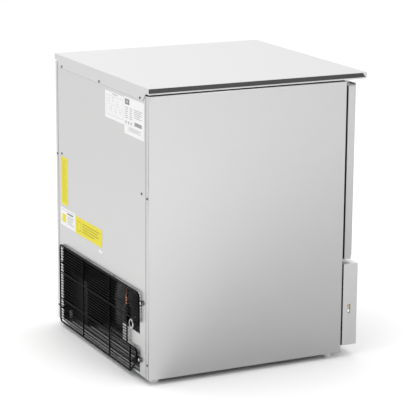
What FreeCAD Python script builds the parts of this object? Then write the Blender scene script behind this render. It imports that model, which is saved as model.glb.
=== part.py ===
# Under-counter ice maker: a free-standing stainless cabinet with an insulated ice bin and freezing
# unit behind a hinged door, and a refrigeration machine room underneath, open at the rear behind a
# wire guard.
#
# Frame: millimetres, +Z up, the door faces -Y, the wire guard faces +Y, +X is to the right of
# someone facing the door. The origin is on the floor, at the middle of the overall footprint.
import FreeCAD, Part
import math
import operator
import os

import Sketcher
from FreeCAD import Placement, Rotation, Vector

doc = FreeCAD.newDocument("IceMaker")
sheet = doc.addObject("Spreadsheet::Sheet", "Dimensions")
nodes = []

OPERATIONS = {"+": operator.add, "-": operator.sub, "*": operator.mul, "/": operator.truediv}


# ---------------------------------------------------------------- sizes that follow the sheet
class Size:
    """A length that carries its value and the sheet formula that gives it."""

    def __init__(self, value, formula):
        self.value = value
        self.formula = formula

    def __add__(self, other):
        return combine(self, "+", other)

    def __radd__(self, other):
        return combine(other, "+", self)

    def __sub__(self, other):
        return combine(self, "-", other)

    def __rsub__(self, other):
        return combine(other, "-", self)

    def __mul__(self, other):
        return combine(self, "*", other)

    def __rmul__(self, other):
        return combine(other, "*", self)

    def __truediv__(self, other):
        return combine(self, "/", other)

    def __neg__(self):
        return combine(0, "-", self)


def value_of(amount):
    return amount.value if isinstance(amount, Size) else float(amount)


def formula_of(amount):
    return amount.formula if isinstance(amount, Size) else f"{float(amount):.6f}"


def combine(left, sign, right):
    value = OPERATIONS[sign](value_of(left), value_of(right))
    return Size(value, f"({formula_of(left)} {sign} {formula_of(right)})")


def size(alias, value, note):
    """Writes one driving dimension into the sheet and returns it."""
    row = size.row = getattr(size, "row", 0) + 1
    sheet.set(f"A{row}", note)
    sheet.set(f"B{row}", str(value))
    sheet.setAlias(f"B{row}", alias)
    return Size(float(value), f"Dimensions.{alias}")


# overall
width = size("width", 645, "worktop width")
height = size("height", 800, "floor to worktop surface")
worktop_depth = size("worktop_depth", 648, "worktop, rear apron to front nose")
cabinet_depth = size("cabinet_depth", 588, "rear apron face to the side panels' front edges")
foot_height = size("foot_height", 16, "floor to the underside of the cabinet")
skin = size("skin", 1, "sheet metal thickness")
fit = size("fit", 0.3, "clearance between parts that move past each other")
run = size("run", 0.05, "radial clearance of a running pin")

# worktop
side_overhang = size("side_overhang", 1.5, "worktop beyond each side panel")
strip_height = size("strip_height", 12, "dark edge strip in the worktop's sides")
strip_thick = size("strip_thick", 5, "edge strip, outside to inside")
board_lip = size("board_lip", 4, "worktop board below the edge strip")
seal_height = size("seal_height", 4, "foam seal under the worktop board")
seal_inset = size("seal_inset", 5, "seal, in from the side panel's face")
seal_width = size("seal_width", 18, "foam seal width")
apron_height = size("apron_height", 36, "rear apron of the worktop")
apron_end = size("apron_end", 16, "rear apron at its cut corners")
apron_corner = size("apron_corner", 17, "flat part of the apron's cut corner")
nose_tab = size("nose_tab", 13, "mitred tab of the nose on each side")

# cabinet shell
side_return = size("side_return", 16, "side panel's rear return")
front_return = size("front_return", 18, "side panel's front return")
seam = size("seam", 0.6, "gap between the rear panel and the returns")
opening_right_edge = size("opening_right_edge", 55, "rear opening's edge by the water inlet, from the side")
opening_left_edge = size("opening_left_edge", 44, "rear opening's far edge, from the side")
opening_drop = size("opening_drop", 22, "rear opening's top below the machine room ceiling")
room_top = size("room_top", 262, "machine room ceiling above the floor")
wall_foam = size("wall_foam", 44, "insulation in the sides and the back")
floor_foam = size("floor_foam", 36, "insulation under the bin")
ceiling_foam = size("ceiling_foam", 44, "insulation over the bin")
liner_wall = size("liner_wall", 2, "bin liner thickness")
pan_lip = size("pan_lip", 12, "upstand round the base pan")
bead_count = size("bead_count", 6, "stiffening beads in the base pan")
bead_pitch = size("bead_pitch", 15, "bead spacing")
bead_height = size("bead_height", 4, "bead height")

# feet
foot_top_radius = size("foot_top_radius", 15, "levelling foot, top of the pad")
foot_base_radius = size("foot_base_radius", 10.5, "levelling foot, on the floor")
foot_stem_radius = size("foot_stem_radius", 5, "levelling foot stem")
foot_stem = size("foot_stem", 24, "stem above the pad")
foot_inset = size("foot_inset", 29, "foot centre in from the cabinet's faces")

# door
door_lift = size("door_lift", 19, "door's lower edge above the machine room ceiling")
door_top_gap = size("door_top_gap", 13, "side panel's top to the door's upper edge")
door_inset = size("door_inset", 3, "door edge in from the side panel's face")
door_thick = size("door_thick", 41, "door thickness")
gasket_thick = size("gasket_thick", 7, "gasket between cabinet and door")
gasket_width = size("gasket_width", 14, "gasket width")
gasket_inset = size("gasket_inset", 5, "gasket in from the door's free edge")
gasket_hinge_inset = size("gasket_hinge_inset", 15, "gasket in from the hinge edge")
flange_depth = size("flange_depth", 21, "door edge behind the finger channel")
lip_setback = size("lip_setback", 31, "front lip in from the door's free edge")
lip_thick = size("lip_thick", 3, "front lip thickness")
channel_reach = size("channel_reach", 58, "finger channel's end from the free edge")
profile_wall = size("profile_wall", 2, "handle profile wall")
profile_width = size("profile_width", 74, "handle profile, free edge to door skin")
cap_thick = size("cap_thick", 2, "door end cap")
hinge_inset = size("hinge_inset", 12, "hinge axis in from the door's hinge edge")
hinge_depth = size("hinge_depth", 22, "hinge axis in front of the door's back")
pin_radius = size("pin_radius", 4, "hinge pin radius")
bush_radius = size("bush_radius", 6.5, "hinge bush outer radius")
bush_length = size("bush_length", 16, "hinge bush length")
hinge_plate = size("hinge_plate", 4, "hinge plate thickness")
hinge_gap = size("hinge_gap", 3, "door to hinge plate")

# lower front panel
lower_bottom_lift = size("lower_bottom_lift", 18, "lower panel's bottom edge above the cabinet's underside")
lower_top_lift = size("lower_top_lift", 6, "lower panel's top edge above the machine room ceiling")
lower_gap = size("lower_gap", 4, "cabinet's front edge to the lower panel")
lower_depth = size("lower_depth", 46, "lower panel, back edge to face")
slot_rows = size("slot_rows", 9, "louvre slots, one above another")
slot_pitch = size("slot_pitch", 16, "louvre slot spacing")
slot_height = size("slot_height", 6, "louvre slot height")
slot_length = size("slot_length", 150, "louvre slot length")
slot_gap = size("slot_gap", 26, "between slots side by side")
slot_first = size("slot_first", 64, "lowest slot above the floor")
grille_border = size("grille_border", 7, "plain border round the louvre slots")
grille_thick = size("grille_thick", 2, "louvre grille behind the lower panel")
bezel_length = size("bezel_length", 130, "control bezel length")
bezel_height = size("bezel_height", 30, "control bezel height")
bezel_inset = size("bezel_inset", 131, "control bezel centre from the side")
bezel_drop = size("bezel_drop", 28, "control bezel centre below the lower panel's top")

# rear guard
guard_rod = size("guard_rod", 5, "guard rod diameter")
guard_gap = size("guard_gap", 2.5, "rear apron's plane to the guard")
guard_left_out = size("guard_left_out", 9, "guard's far rod, out from the opening's edge")
guard_right_out = size("guard_right_out", 3, "guard's near rod, out from the opening's edge")
guard_top_lift = size("guard_top_lift", 6, "guard's top rod above the opening")
guard_upper = size("guard_upper", 166, "guard's upper cross rod")
guard_lower = size("guard_lower", 86, "guard's lower cross rod")
guard_bottom = size("guard_bottom", 14, "guard's bottom rod")
guard_first = size("guard_first", 112, "guard's first upright from the middle")
guard_second = size("guard_second", 75, "guard's second upright, the other way")
guard_notch_width = size("guard_notch_width", 75, "notch round the water inlet")
guard_foot_inset = size("guard_foot_inset", 8, "guard's rod below the notch, in from the opening's edge")
guard_cut = size("guard_cut", 40, "cut corner under the notch")
guard_bend = size("guard_bend", 11, "guard corner radius")
guard_hook_lift = size("guard_hook_lift", 28, "guard hook from its cross rod")
guard_hook_reach = size("guard_hook_reach", 14, "guard hook behind the rear panel")
guard_hook_inset = size("guard_hook_inset", 7, "guard hook in from the opening's edge")
wire_pitch = size("wire_pitch", 8, "spacing of the guard's fine wires")
wire_radius = size("wire_radius", 1.1, "fine wire radius")
guard_drain = size("guard_drain", 21, "guard's short upright, beyond the drain outlet")
eye_offset = size("eye_offset", 13, "guard eye from its rod")
eye_radius = size("eye_radius", 7, "guard eye, outside")
eye_hole = size("eye_hole", 3.2, "guard eye hole")

# machine room
plate_bottom = size("plate_bottom", 84, "connection plate's lower edge")
plate_top = size("plate_top", 130, "connection plate's upper edge")
plate_length = size("plate_length", 116, "connection plate, inwards from the opening's edge")
shelf_depth = size("shelf_depth", 46, "connection plate's shelf")
inlet_inset = size("inlet_inset", 44, "water inlet from the opening's edge")
inlet_z = size("inlet_z", 148, "water inlet above the floor")
inlet_radius = size("inlet_radius", 13.2, "water inlet thread, outside")
inlet_bore = size("inlet_bore", 9, "water inlet bore")
inlet_stub = size("inlet_stub", 12, "water inlet stub length")
gland_inset = size("gland_inset", 13, "cable gland from the opening's edge")
gland_lift = size("gland_lift", 12, "cable gland's centre above the connection shelf")
gland_radius = size("gland_radius", 9, "cable gland's nut, outside")
lead_radius = size("lead_radius", 4, "hole for the mains lead")
drain_inset = size("drain_inset", 31, "drain outlet from the opening's edge")
drain_z = size("drain_z", 48, "drain outlet above the floor")
drain_radius = size("drain_radius", 8.5, "drain outlet, outside")
drain_bore = size("drain_bore", 6.5, "drain outlet bore")
compressor_x = size("compressor_x", 60, "compressor from the middle")
compressor_back = size("compressor_back", 150, "compressor axis from the rear face")
shell_radius = size("shell_radius", 76, "compressor shell radius")
shell_height = size("shell_height", 172, "compressor shell height")
grommet_height = size("grommet_height", 14, "compressor grommet height")
coil_x = size("coil_x", 120, "condenser centre from the middle")
coil_length = size("coil_length", 250, "condenser fin pack length")
coil_height = size("coil_height", 196, "condenser fin pack height")
coil_thick = size("coil_thick", 44, "condenser fin pack thickness")
coil_front = size("coil_front", 14, "condenser behind the cabinet's front edge")
coil_lift = size("coil_lift", 12, "condenser above the base pan")
fin_count = size("fin_count", 32, "condenser fins")
fin_thick = size("fin_thick", 0.8, "condenser fin thickness")
tube_radius = size("tube_radius", 4.8, "condenser tube radius")
fan_radius = size("fan_radius", 86, "fan blade radius")
fan_gap = size("fan_gap", 6, "fan blade to shroud")
motor_radius = size("motor_radius", 31, "fan motor radius")
shaft_radius = size("shaft_radius", 3, "fan and pump shaft radius")
drier_x = size("drier_x", -62, "filter drier from the middle")
drier_back = size("drier_back", 52, "filter drier axis from the rear face")
drier_z = size("drier_z", 82, "filter drier can's lower end above the floor")
drier_length = size("drier_length", 58, "filter drier can length")
control_inset = size("control_inset", 20, "control box from the side panel's face")
control_back = size("control_back", 38, "control box from the rear face")
control_width = size("control_width", 112, "control box width")
control_length = size("control_length", 96, "control box depth")
control_height = size("control_height", 128, "control box height")
copper_radius = size("copper_radius", 3.2, "refrigerant line radius")

# freezing unit
unit_back = size("unit_back", 96, "evaporator's back from the liner's back")
plate_half = size("plate_half", 132, "half the evaporator width")
unit_height = size("unit_height", 136, "evaporator height")
unit_drop = size("unit_drop", 36, "evaporator's top below the bin's ceiling")
cell_depth = size("cell_depth", 24, "ice cell depth")
cell_wall = size("cell_wall", 1.6, "ice cell wall")
cells_across = size("cells_across", 8, "ice cells across")
cells_high = size("cells_high", 5, "ice cells up")
trough_wall = size("trough_wall", 2.5, "water trough wall")
trough_depth = size("trough_depth", 44, "water trough depth")
curtain_thick = size("curtain_thick", 2.5, "water curtain thickness")
curtain_gap = size("curtain_gap", 9, "evaporator face to curtain")
label_lift = size("label_lift", 43, "lower labels above the machine room ceiling")
pump_radius = size("pump_radius", 27, "water pump motor radius")

screw_head = size("screw_head", 3.6, "pan-head screw, head radius")
screw_head_height = size("screw_head_height", 1.8, "pan-head screw, head height")
screw_shank = size("screw_shank", 1.9, "pan-head screw, shank radius")
screw_length = size("screw_length", 9, "pan-head screw, shank length")
liner_cove = size("liner_cove", 7, "coved strip in the bin's corners")
cove_lip = size("cove_lip", 0.6, "coved strip's thin edge")
drain_y_from_back = size("drain_y_from_back", 60, "bin drain in front of the liner's back")
apron_screw_inset = size("apron_screw_inset", 51, "apron screws from the side")
rear_screw_inset = size("rear_screw_inset", 43, "rear panel screws from the side")
rear_screw_z = size("rear_screw_z", 516, "rear panel screws above the floor")
apron_screw_lift = size("apron_screw_lift", 5, "apron screws above the apron's lower edge")
lining_thick = size("lining_thick", 6, "machine room sound lining")
hinge_arm = size("hinge_arm", 34, "hinge plate from the pin towards the middle")
handle_round = size("handle_round", 1.6, "handle profile, outer corner radius")
channel_round = size("channel_round", 5, "finger channel corner radius")
door_round = size("door_round", 4, "door's hinge-side corner radius")
liner_border = size("liner_border", 62, "flat border round the door liner's dish")
liner_recess = size("liner_recess", 7, "door liner dish depth")
lower_round = size("lower_round", 2.5, "lower panel's front edge radius")
peek_setback = size("peek_setback", 19, "side slot centre in front of the panel's back edge")
peek_width = size("peek_width", 9, "side slot width")
peek_height = size("peek_height", 25, "side slot height")
peek_z = size("peek_z", 139, "side slot centre above the floor")
bracket_gap = size("bracket_gap", 1.6, "lower panel to bracket")
bracket_thick = size("bracket_thick", 2, "panel bracket thickness")
bracket_half = size("bracket_half", 34, "half the panel bracket's height")
rocker_length = size("rocker_length", 26, "power rocker length")
rocker_height = size("rocker_height", 15, "power rocker height")
rocker_play = size("rocker_play", 1.6, "power rocker, in from its window at each end")
rocker_depth = size("rocker_depth", 12, "power rocker, face to pivot")
button_radius = size("button_radius", 7, "clean button radius")
button_travel = size("button_travel", 3, "clean button travel")
lamp_radius = size("lamp_radius", 3, "indicator lamp radius")

doc.recompute()

# ---------------------------------------------------------------- shared planes of the design
back = (worktop_depth - guard_gap - guard_rod) / 2  # outer face of the rear apron
front = back - cabinet_depth  # front edge of the side panels
nose = back - worktop_depth  # front face of the worktop
half = width / 2 - side_overhang  # outer face of the side panels
rear_face = back - skin  # outer face of the rear panel
shell_back = rear_face - skin  # inner face of the rear panel
board_top = height - skin
strip_bottom = board_top - strip_height
board_bottom = strip_bottom - board_lip
panel_top = board_bottom - seal_height
floor_top = foot_height + skin  # upper face of the base pan
room_lid = room_top + skin
bin_floor = room_lid + floor_foam + liner_wall
bin_ceiling = panel_top - skin - ceiling_foam - liner_wall
bin_half = half - skin - wall_foam - liner_wall
bin_back = shell_back - wall_foam - liner_wall
door_top = panel_top - door_top_gap
door_bottom = room_top + door_lift
door_back = front - gasket_thick
door_front = door_back - door_thick
door_free = -(half - door_inset)
door_hinge = half - door_inset
hinge_x = door_hinge - hinge_inset
hinge_y = door_back - hinge_depth
lower_back = front - lower_gap
lower_front = lower_back - lower_depth
lower_bottom = foot_height + lower_bottom_lift
lower_top = room_top + lower_top_lift
bezel_centre_x = half - bezel_inset
bezel_centre_z = lower_top - bezel_drop
opening_right = half - opening_right_edge
opening_left = half - opening_left_edge
opening_top = room_top - opening_drop
guard_y = back + guard_gap + guard_rod / 2  # guard rods' centre plane
guard_left = opening_left + guard_left_out
guard_right = opening_right + guard_right_out
guard_top = opening_top + guard_top_lift
guard_notch = guard_right - guard_notch_width
guard_foot = opening_right - guard_foot_inset
plate_reach = opening_right - plate_length
inlet_x = opening_right - inlet_inset
drain_x = opening_right - drain_inset
apron_screw_x = half - apron_screw_inset
rear_screw_x = half - rear_screw_inset
ice_top = bin_ceiling - unit_drop
ice_bottom = ice_top - unit_height


# ---------------------------------------------------------------- small modelling vocabulary
def bind(item, prop, amount):
    item.setExpression(prop, formula_of(amount))


def place(item, x=None, y=None, z=None):
    for axis, amount in (("x", x), ("y", y), ("z", z)):
        if amount is not None:
            bind(item, f"Placement.Base.{axis}", amount)
    return item


def block(name, x, y, z):
    """A box between two limits on each axis."""
    item = doc.addObject("Part::Box", name)
    for prop, (low, high) in zip(("Length", "Width", "Height"), (x, y, z)):
        bind(item, prop, combine(high, "-", low))
    return place(item, x[0], y[0], z[0])


TURN_Z_TO = {
    "x": Rotation(Vector(0, 1, 0), 90),
    "y": Rotation(Vector(1, 0, 0), -90),
    "z": Rotation(),
}


def rod(name, centre, axis, radius, length):
    """A cylinder that starts at centre and runs the given length along +axis."""
    item = doc.addObject("Part::Cylinder", name)
    item.Placement = Placement(Vector(), TURN_Z_TO[axis])
    bind(item, "Radius", radius)
    bind(item, "Height", length)
    return place(item, *centre)


def taper(name, centre, axis, radius, end_radius, length):
    item = doc.addObject("Part::Cone", name)
    item.Placement = Placement(Vector(), TURN_Z_TO[axis])
    bind(item, "Radius1", radius)
    bind(item, "Radius2", end_radius)
    bind(item, "Height", length)
    return place(item, *centre)


def fuse(name, *items):
    joined = doc.addObject("Part::MultiFuse", name)
    joined.Shapes = list(items)
    joined.Refine = True
    return joined


def group(name, *items):
    """Separate solids kept in one object."""
    kept = doc.addObject("Part::Compound", name)
    kept.Links = list(items)
    return kept


def cut(name, base, *tools):
    result = doc.addObject("Part::Cut", name)
    result.Base = base
    result.Tool = tools[0] if len(tools) == 1 else group(name + "_tools", *tools)
    return result


def node(label, item):
    """Marks an object as a finished piece; label names its file."""
    item.Label = label
    nodes.append(item)
    return item


def new_body(name):
    return doc.addObject("PartDesign::Body", name)


def origin_part(body, role):
    return next(f for f in body.Origin.OriginFeatures if f.Role == role)


# Sign of each origin plane's normal along the axis that the plane doesn't hold.
NORMAL = {"XY_Plane": 1, "XZ_Plane": -1, "YZ_Plane": 1}


def sketch(body, name, plane, at, loops=(), circles=()):
    """A sketch on an origin plane moved to the place 'at', each point fixed by two bound distances."""
    item = body.newObject("Sketcher::SketchObject", name)
    item.AttachmentSupport = [(origin_part(body, plane), "")]
    item.MapMode = "FlatFace"
    bind(item, "AttachmentOffset.Base.z", combine(at, "*", NORMAL[plane]))

    def fix(kind, geometry, point, amount):
        index = item.addConstraint(
            Sketcher.Constraint(kind, -1, 1, geometry, point, value_of(amount))
        )
        item.setExpression(f"Constraints[{index}]", formula_of(amount))

    for points in loops:
        corners = [Vector(value_of(a), value_of(b), 0) for a, b in points]
        first = item.GeometryCount
        count = len(corners)
        for i, corner in enumerate(corners):
            item.addGeometry(Part.LineSegment(corner, corners[(i + 1) % count]))
        for i, (a, b) in enumerate(points):
            following = first + (i + 1) % count
            item.addConstraint(Sketcher.Constraint("Coincident", first + i, 2, following, 1))
            fix("DistanceX", first + i, 1, a)
            fix("DistanceY", first + i, 1, b)
    for a, b, radius in circles:
        centre = Vector(value_of(a), value_of(b), 0)
        ring = item.addGeometry(Part.Circle(centre, Vector(0, 0, 1), value_of(radius)))
        fix("DistanceX", ring, 3, a)
        fix("DistanceY", ring, 3, b)
        index = item.addConstraint(Sketcher.Constraint("Radius", ring, value_of(radius)))
        item.setExpression(f"Constraints[{index}]", formula_of(radius))
    return item


def rectangle(a, b):
    """The four corners of a rectangle between limits a and b of the sketch's two axes."""
    return [(a[0], b[0]), (a[1], b[0]), (a[1], b[1]), (a[0], b[1])]


def pad(body, name, profile, length, flip=False):
    item = body.newObject("PartDesign::Pad", name)
    item.Profile = profile
    bind(item, "Length", length)
    item.Reversed = flip
    return item


def pocket(body, name, profile, length, flip=False):
    item = body.newObject("PartDesign::Pocket", name)
    item.Profile = profile
    bind(item, "Length", length)
    item.Reversed = flip
    return item


def revolve(body, name, profile):
    item = body.newObject("PartDesign::Revolution", name)
    item.Profile = profile
    item.ReferenceAxis = (profile, ["V_Axis"])
    item.Angle = 360
    return item


def repeat(body, name, feature, axis_role, pitch, count):
    item = body.newObject("PartDesign::LinearPattern", name)
    item.Originals = [feature]
    item.Direction = (origin_part(body, axis_role), [""])
    bind(item, "Length", combine(pitch, "*", combine(count, "-", 1)))
    bind(item, "Occurrences", count)
    body.Tip = item
    return item


def round_edges(body, name, radius, wanted):
    """Fillets the edges of the body's last feature whose middle the function 'wanted' accepts."""
    doc.recompute()
    base = body.Tip
    edges = [
        f"Edge{i + 1}"
        for i, edge in enumerate(base.Shape.Edges)
        if wanted(edge, edge.CenterOfMass)
    ]
    item = body.newObject("PartDesign::Fillet", name)
    item.Base = (base, edges)
    bind(item, "Radius", radius)
    return item


def upright(edge):
    return edge.BoundBox.ZLength > 10 and edge.BoundBox.DiagonalLength - edge.BoundBox.ZLength < 0.01


def near(point, x, y, reach=0.5):
    return abs(point.x - value_of(x)) < reach and abs(point.y - value_of(y)) < reach


def pipe(name, points, radius, bend):
    """A round tube along straight runs joined by tangent arcs of the bend radius."""
    corners = [Vector(*(value_of(c) for c in p)) for p in points]
    edges, here = [], corners[0]
    for i in range(1, len(corners) - 1):
        before = (corners[i - 1] - corners[i]).normalize()
        after = (corners[i + 1] - corners[i]).normalize()
        turn = math.pi - before.getAngle(after)
        setback = value_of(bend) * math.tan(turn / 2)
        arc_start = corners[i] + before * setback
        arc_end = corners[i] + after * setback
        bisector = (before + after).normalize()
        centre = corners[i] + bisector * (value_of(bend) / math.cos(turn / 2))
        arc_middle = centre - bisector * value_of(bend)
        if (arc_start - here).Length > 1e-6:
            edges.append(Part.LineSegment(here, arc_start).toShape())
        edges.append(Part.Arc(arc_start, arc_middle, arc_end).toShape())
        here = arc_end
    edges.append(Part.LineSegment(here, corners[-1]).toShape())
    spine = doc.addObject("Part::Feature", name + "_path")
    spine.Shape = Part.Wire(edges)
    ring = doc.addObject("Part::Circle", name + "_section")
    bind(ring, "Radius", radius)
    along = (corners[1] - corners[0]).normalize()
    ring.Placement = Placement(corners[0], Rotation(Vector(0, 0, 1), along))
    item = doc.addObject("Part::Sweep", name)
    item.Sections = [ring]
    item.Spine = (spine, [f"Edge{i + 1}" for i in range(len(edges))])
    item.Solid = True
    item.Frenet = False
    return item


def side_span(sign, inner, outer):
    """Limits along X of something between two distances from the middle, on one side."""
    return (inner, outer) if sign > 0 else (-outer, -inner)


def screw(name, x, y, z, axis_sign, head=None, shank=None):
    """A pan-head sheet-metal screw lying along Y; axis_sign is the way its head faces."""
    head_radius, head_height = head or (screw_head, screw_head_height)
    shank_radius, shank_length = shank or (screw_shank, screw_length)
    cap_y = y if axis_sign > 0 else y - head_height
    shank_y = y - shank_length if axis_sign > 0 else y
    return fuse(
        name,
        rod(name + "_head", (x, cap_y, z), "y", head_radius, head_height),
        rod(name + "_shank", (x, shank_y, z), "y", shank_radius, shank_length),
    )


# ---------------------------------------------------------------- worktop
def make_worktop():
    top = new_body("WorktopBody")
    plan = sketch(
        top, "TopPlan", "XY_Plane", board_top, [rectangle((-width / 2, width / 2), (nose, back))]
    )
    pad(top, "TopSheet", plan, skin)
    apron = [
        (-width / 2, height),
        (-width / 2, height - apron_end),
        (-width / 2 + apron_corner, height - apron_end),
        (-width / 2 + apron_corner * 2, height - apron_height),
        (width / 2 - apron_corner * 2, height - apron_height),
        (width / 2 - apron_corner, height - apron_end),
        (width / 2, height - apron_end),
        (width / 2, height),
    ]
    holes = [(x, z, screw_shank + fit / 2) for x, z in apron_screw_points()]
    pad(top, "RearApron", sketch(top, "ApronOutline", "XZ_Plane", back, [apron], holes), skin)
    face = rectangle((-width / 2, width / 2), (strip_bottom, height))
    pad(top, "FrontNose", sketch(top, "NoseOutline", "XZ_Plane", nose + skin, [face]), skin)
    for sign, suffix in ((-1, "Left"), (1, "Right")):
        tab = [
            (nose, strip_bottom),
            (nose + nose_tab / 4, strip_bottom),
            (nose + nose_tab, board_top),
            (nose, board_top),
        ]
        at = width / 2 * sign
        outline = sketch(top, "NoseTab" + suffix, "YZ_Plane", at, [tab])
        pad(top, "NoseFold" + suffix, outline, skin, flip=sign > 0)
    node("worktop", top)

    inner_half = width / 2 - strip_thick
    front_line = nose + skin
    rear_line = back - skin
    mirrored_strips = []
    for sign, suffix in ((-1, "left"), (1, "right")):
        outer = block(
            "strip_" + suffix,
            side_span(sign, inner_half, width / 2 - skin * 0.2),
            (front_line, rear_line),
            (strip_bottom, board_top),
        )
        relief = block(
            "strip_relief_" + suffix,
            side_span(sign, width / 2 - skin, width / 2),
            (nose, nose + nose_tab + fit),
            (strip_bottom - 1, board_top),
        )
        mirrored_strips.append(cut("edge_strip_" + suffix, outer, relief))
    node("edge_strips", group("edge_strip_pair", *mirrored_strips))

    lip = block(
        "board_lip_slab",
        (-(width / 2 - skin), width / 2 - skin),
        (front_line, rear_line),
        (board_bottom, strip_bottom),
    )
    core = block(
        "board_core", (-inner_half, inner_half), (front_line, rear_line), (strip_bottom, board_top)
    )
    node("worktop_board", fuse("worktop_board_solid", lip, core))

    seal_half = half - seal_inset
    outer_ring = block(
        "seal_outer",
        (-seal_half, seal_half),
        (front + seal_inset, shell_back - seal_inset),
        (panel_top, board_bottom),
    )
    inner_ring = block(
        "seal_inner",
        (-(seal_half - seal_width), seal_half - seal_width),
        (front + seal_inset + seal_width, shell_back - seal_inset - seal_width),
        (panel_top - 1, board_bottom + 1),
    )
    return cut("top_seal_ring", outer_ring, inner_ring)


# ---------------------------------------------------------------- cabinet shell
def make_side_panel(sign, label):
    """A side sheet folded inwards at the rear, the front and the top."""
    wall = block(
        label + "_wall", side_span(sign, half - skin, half), (front, rear_face), (foot_height, panel_top)
    )
    rear = block(
        label + "_rear",
        side_span(sign, half - side_return, half),
        (shell_back, rear_face),
        (foot_height, panel_top),
    )
    fore = block(
        label + "_front",
        side_span(sign, half - front_return, half),
        (front, front + skin),
        (foot_height, panel_top),
    )
    lid = block(
        label + "_top",
        side_span(sign, half - front_return, half),
        (front, rear_face),
        (panel_top - skin, panel_top),
    )
    sheet_body = fuse(label + "_sheet", wall, rear, fore, lid)
    own = [(x, z) for x, z in return_screw_points() if value_of(x) * sign > 0]
    node(label, bored(label + "_drilled", sheet_body, own))


def apron_screw_points():
    return [(x, height - apron_height + apron_screw_lift) for x in (-apron_screw_x, 0, apron_screw_x)]


def rear_screw_points():
    return [(sign * rear_screw_x, rear_screw_z) for sign in (-1, 1)]


def return_screw_points():
    """Screws through the side panels' rear returns."""
    middle = half - side_return / 2
    return [(sign * middle, z) for sign in (-1, 1) for z in (rear_screw_z - 6, foot_height + 40)]


def bored(name, item, points):
    """Drills clearance for panel screws driven in from the rear."""
    depth = screw_length + fit
    bores = [
        rod(f"{name}_bore_{i}", (x, rear_face - depth, z), "y", screw_shank + fit / 2, depth + skin * 2)
        for i, (x, z) in enumerate(points)
    ]
    return cut(name, item, *bores)


def make_rear_panel():
    reach = half - side_return - seam
    outline = [
        (-reach, floor_top + fit),
        (-opening_right, floor_top + fit),
        (-opening_right, opening_top),
        (opening_left, opening_top),
        (opening_left, floor_top + fit),
        (reach, floor_top + fit),
        (reach, panel_top - skin),
        (-reach, panel_top - skin),
    ]
    points = apron_screw_points() + rear_screw_points() + guard_screw_points()
    holes = [(x, z, screw_shank + fit / 2) for x, z in points]
    panel = new_body("RearPanelBody")
    plan = sketch(panel, "RearOutline", "XZ_Plane", rear_face, [outline], holes)
    pad(panel, "RearSheet", plan, skin)
    corners = ((opening_left, opening_top), (-opening_right, opening_top))

    def opening_corner(edge, middle):
        along_y = edge.BoundBox.YLength > 0.5 and edge.BoundBox.ZLength < 0.01
        return along_y and any(
            abs(middle.x - value_of(x)) < 0.5 and abs(middle.z - value_of(z)) < 0.5
            for x, z in corners
        )

    round_edges(panel, "OpeningCorners", guard_bend, opening_corner)
    node("rear_panel", panel)


def guard_screw_points():
    return [
        (-(guard_right + eye_offset), guard_top - 26),
        (-(guard_foot + eye_offset), guard_lower - 26),
    ]


def make_insulated_box():
    outer_x = half - skin
    inner_x = outer_x - wall_foam
    deep = (front + skin, shell_back)
    low, high = bin_floor - liner_wall, bin_ceiling + liner_wall
    slabs = [
        block("foam_floor", (-outer_x, outer_x), deep, (room_lid, low)),
        block("foam_ceiling", (-outer_x, outer_x), deep, (high, panel_top - skin)),
        block("foam_left", (-outer_x, -inner_x), deep, (low, high)),
        block("foam_right", (inner_x, outer_x), deep, (low, high)),
        block("foam_back", (-inner_x, inner_x), (shell_back - wall_foam, shell_back), (low, high)),
    ]
    drain = rod("foam_drain", (0, drain_y, room_lid - 1), "z", drain_radius + fit, floor_foam + 4)
    slabs[0] = cut("foam_floor_drained", slabs[0], drain)
    slabs[1] = bored("foam_ceiling_drilled", slabs[1], apron_screw_points())
    deep_screws = rear_screw_points() + return_screw_points()
    for i, sign in ((2, -1), (3, 1)):
        own = [(x, z) for x, z in deep_screws if value_of(x) * sign > 0]
        slabs[i] = bored(f"foam_side_drilled_{i}", slabs[i], own)
    node("insulation_slabs", group("insulation_set", *slabs))

    make_liner(inner_x, low, high)

    frame_half = half - front_return
    sheet = (front, front + skin)
    top = panel_top - skin
    bars = [
        block("frame_sill", (-frame_half, frame_half), sheet, (room_lid, bin_floor)),
        block("frame_head", (-frame_half, frame_half), sheet, (bin_ceiling, top)),
        block("frame_left", (-frame_half, -bin_half), sheet, (bin_floor, bin_ceiling)),
        block("frame_right", (bin_half, frame_half), sheet, (bin_floor, bin_ceiling)),
    ]

    lid = block(
        "room_lid_sheet",
        (-(half - skin), half - skin),
        (front + skin, shell_back),
        (room_top, room_lid),
    )
    lid_hole = rod("room_lid_hole", (0, drain_y, room_top - 1), "z", drain_radius + fit, 4)
    ceiling_sheet = cut("room_ceiling_sheet", lid, lid_hole)
    node("cabinet_frame", group("cabinet_frame_sheets", *bars, ceiling_sheet))


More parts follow.
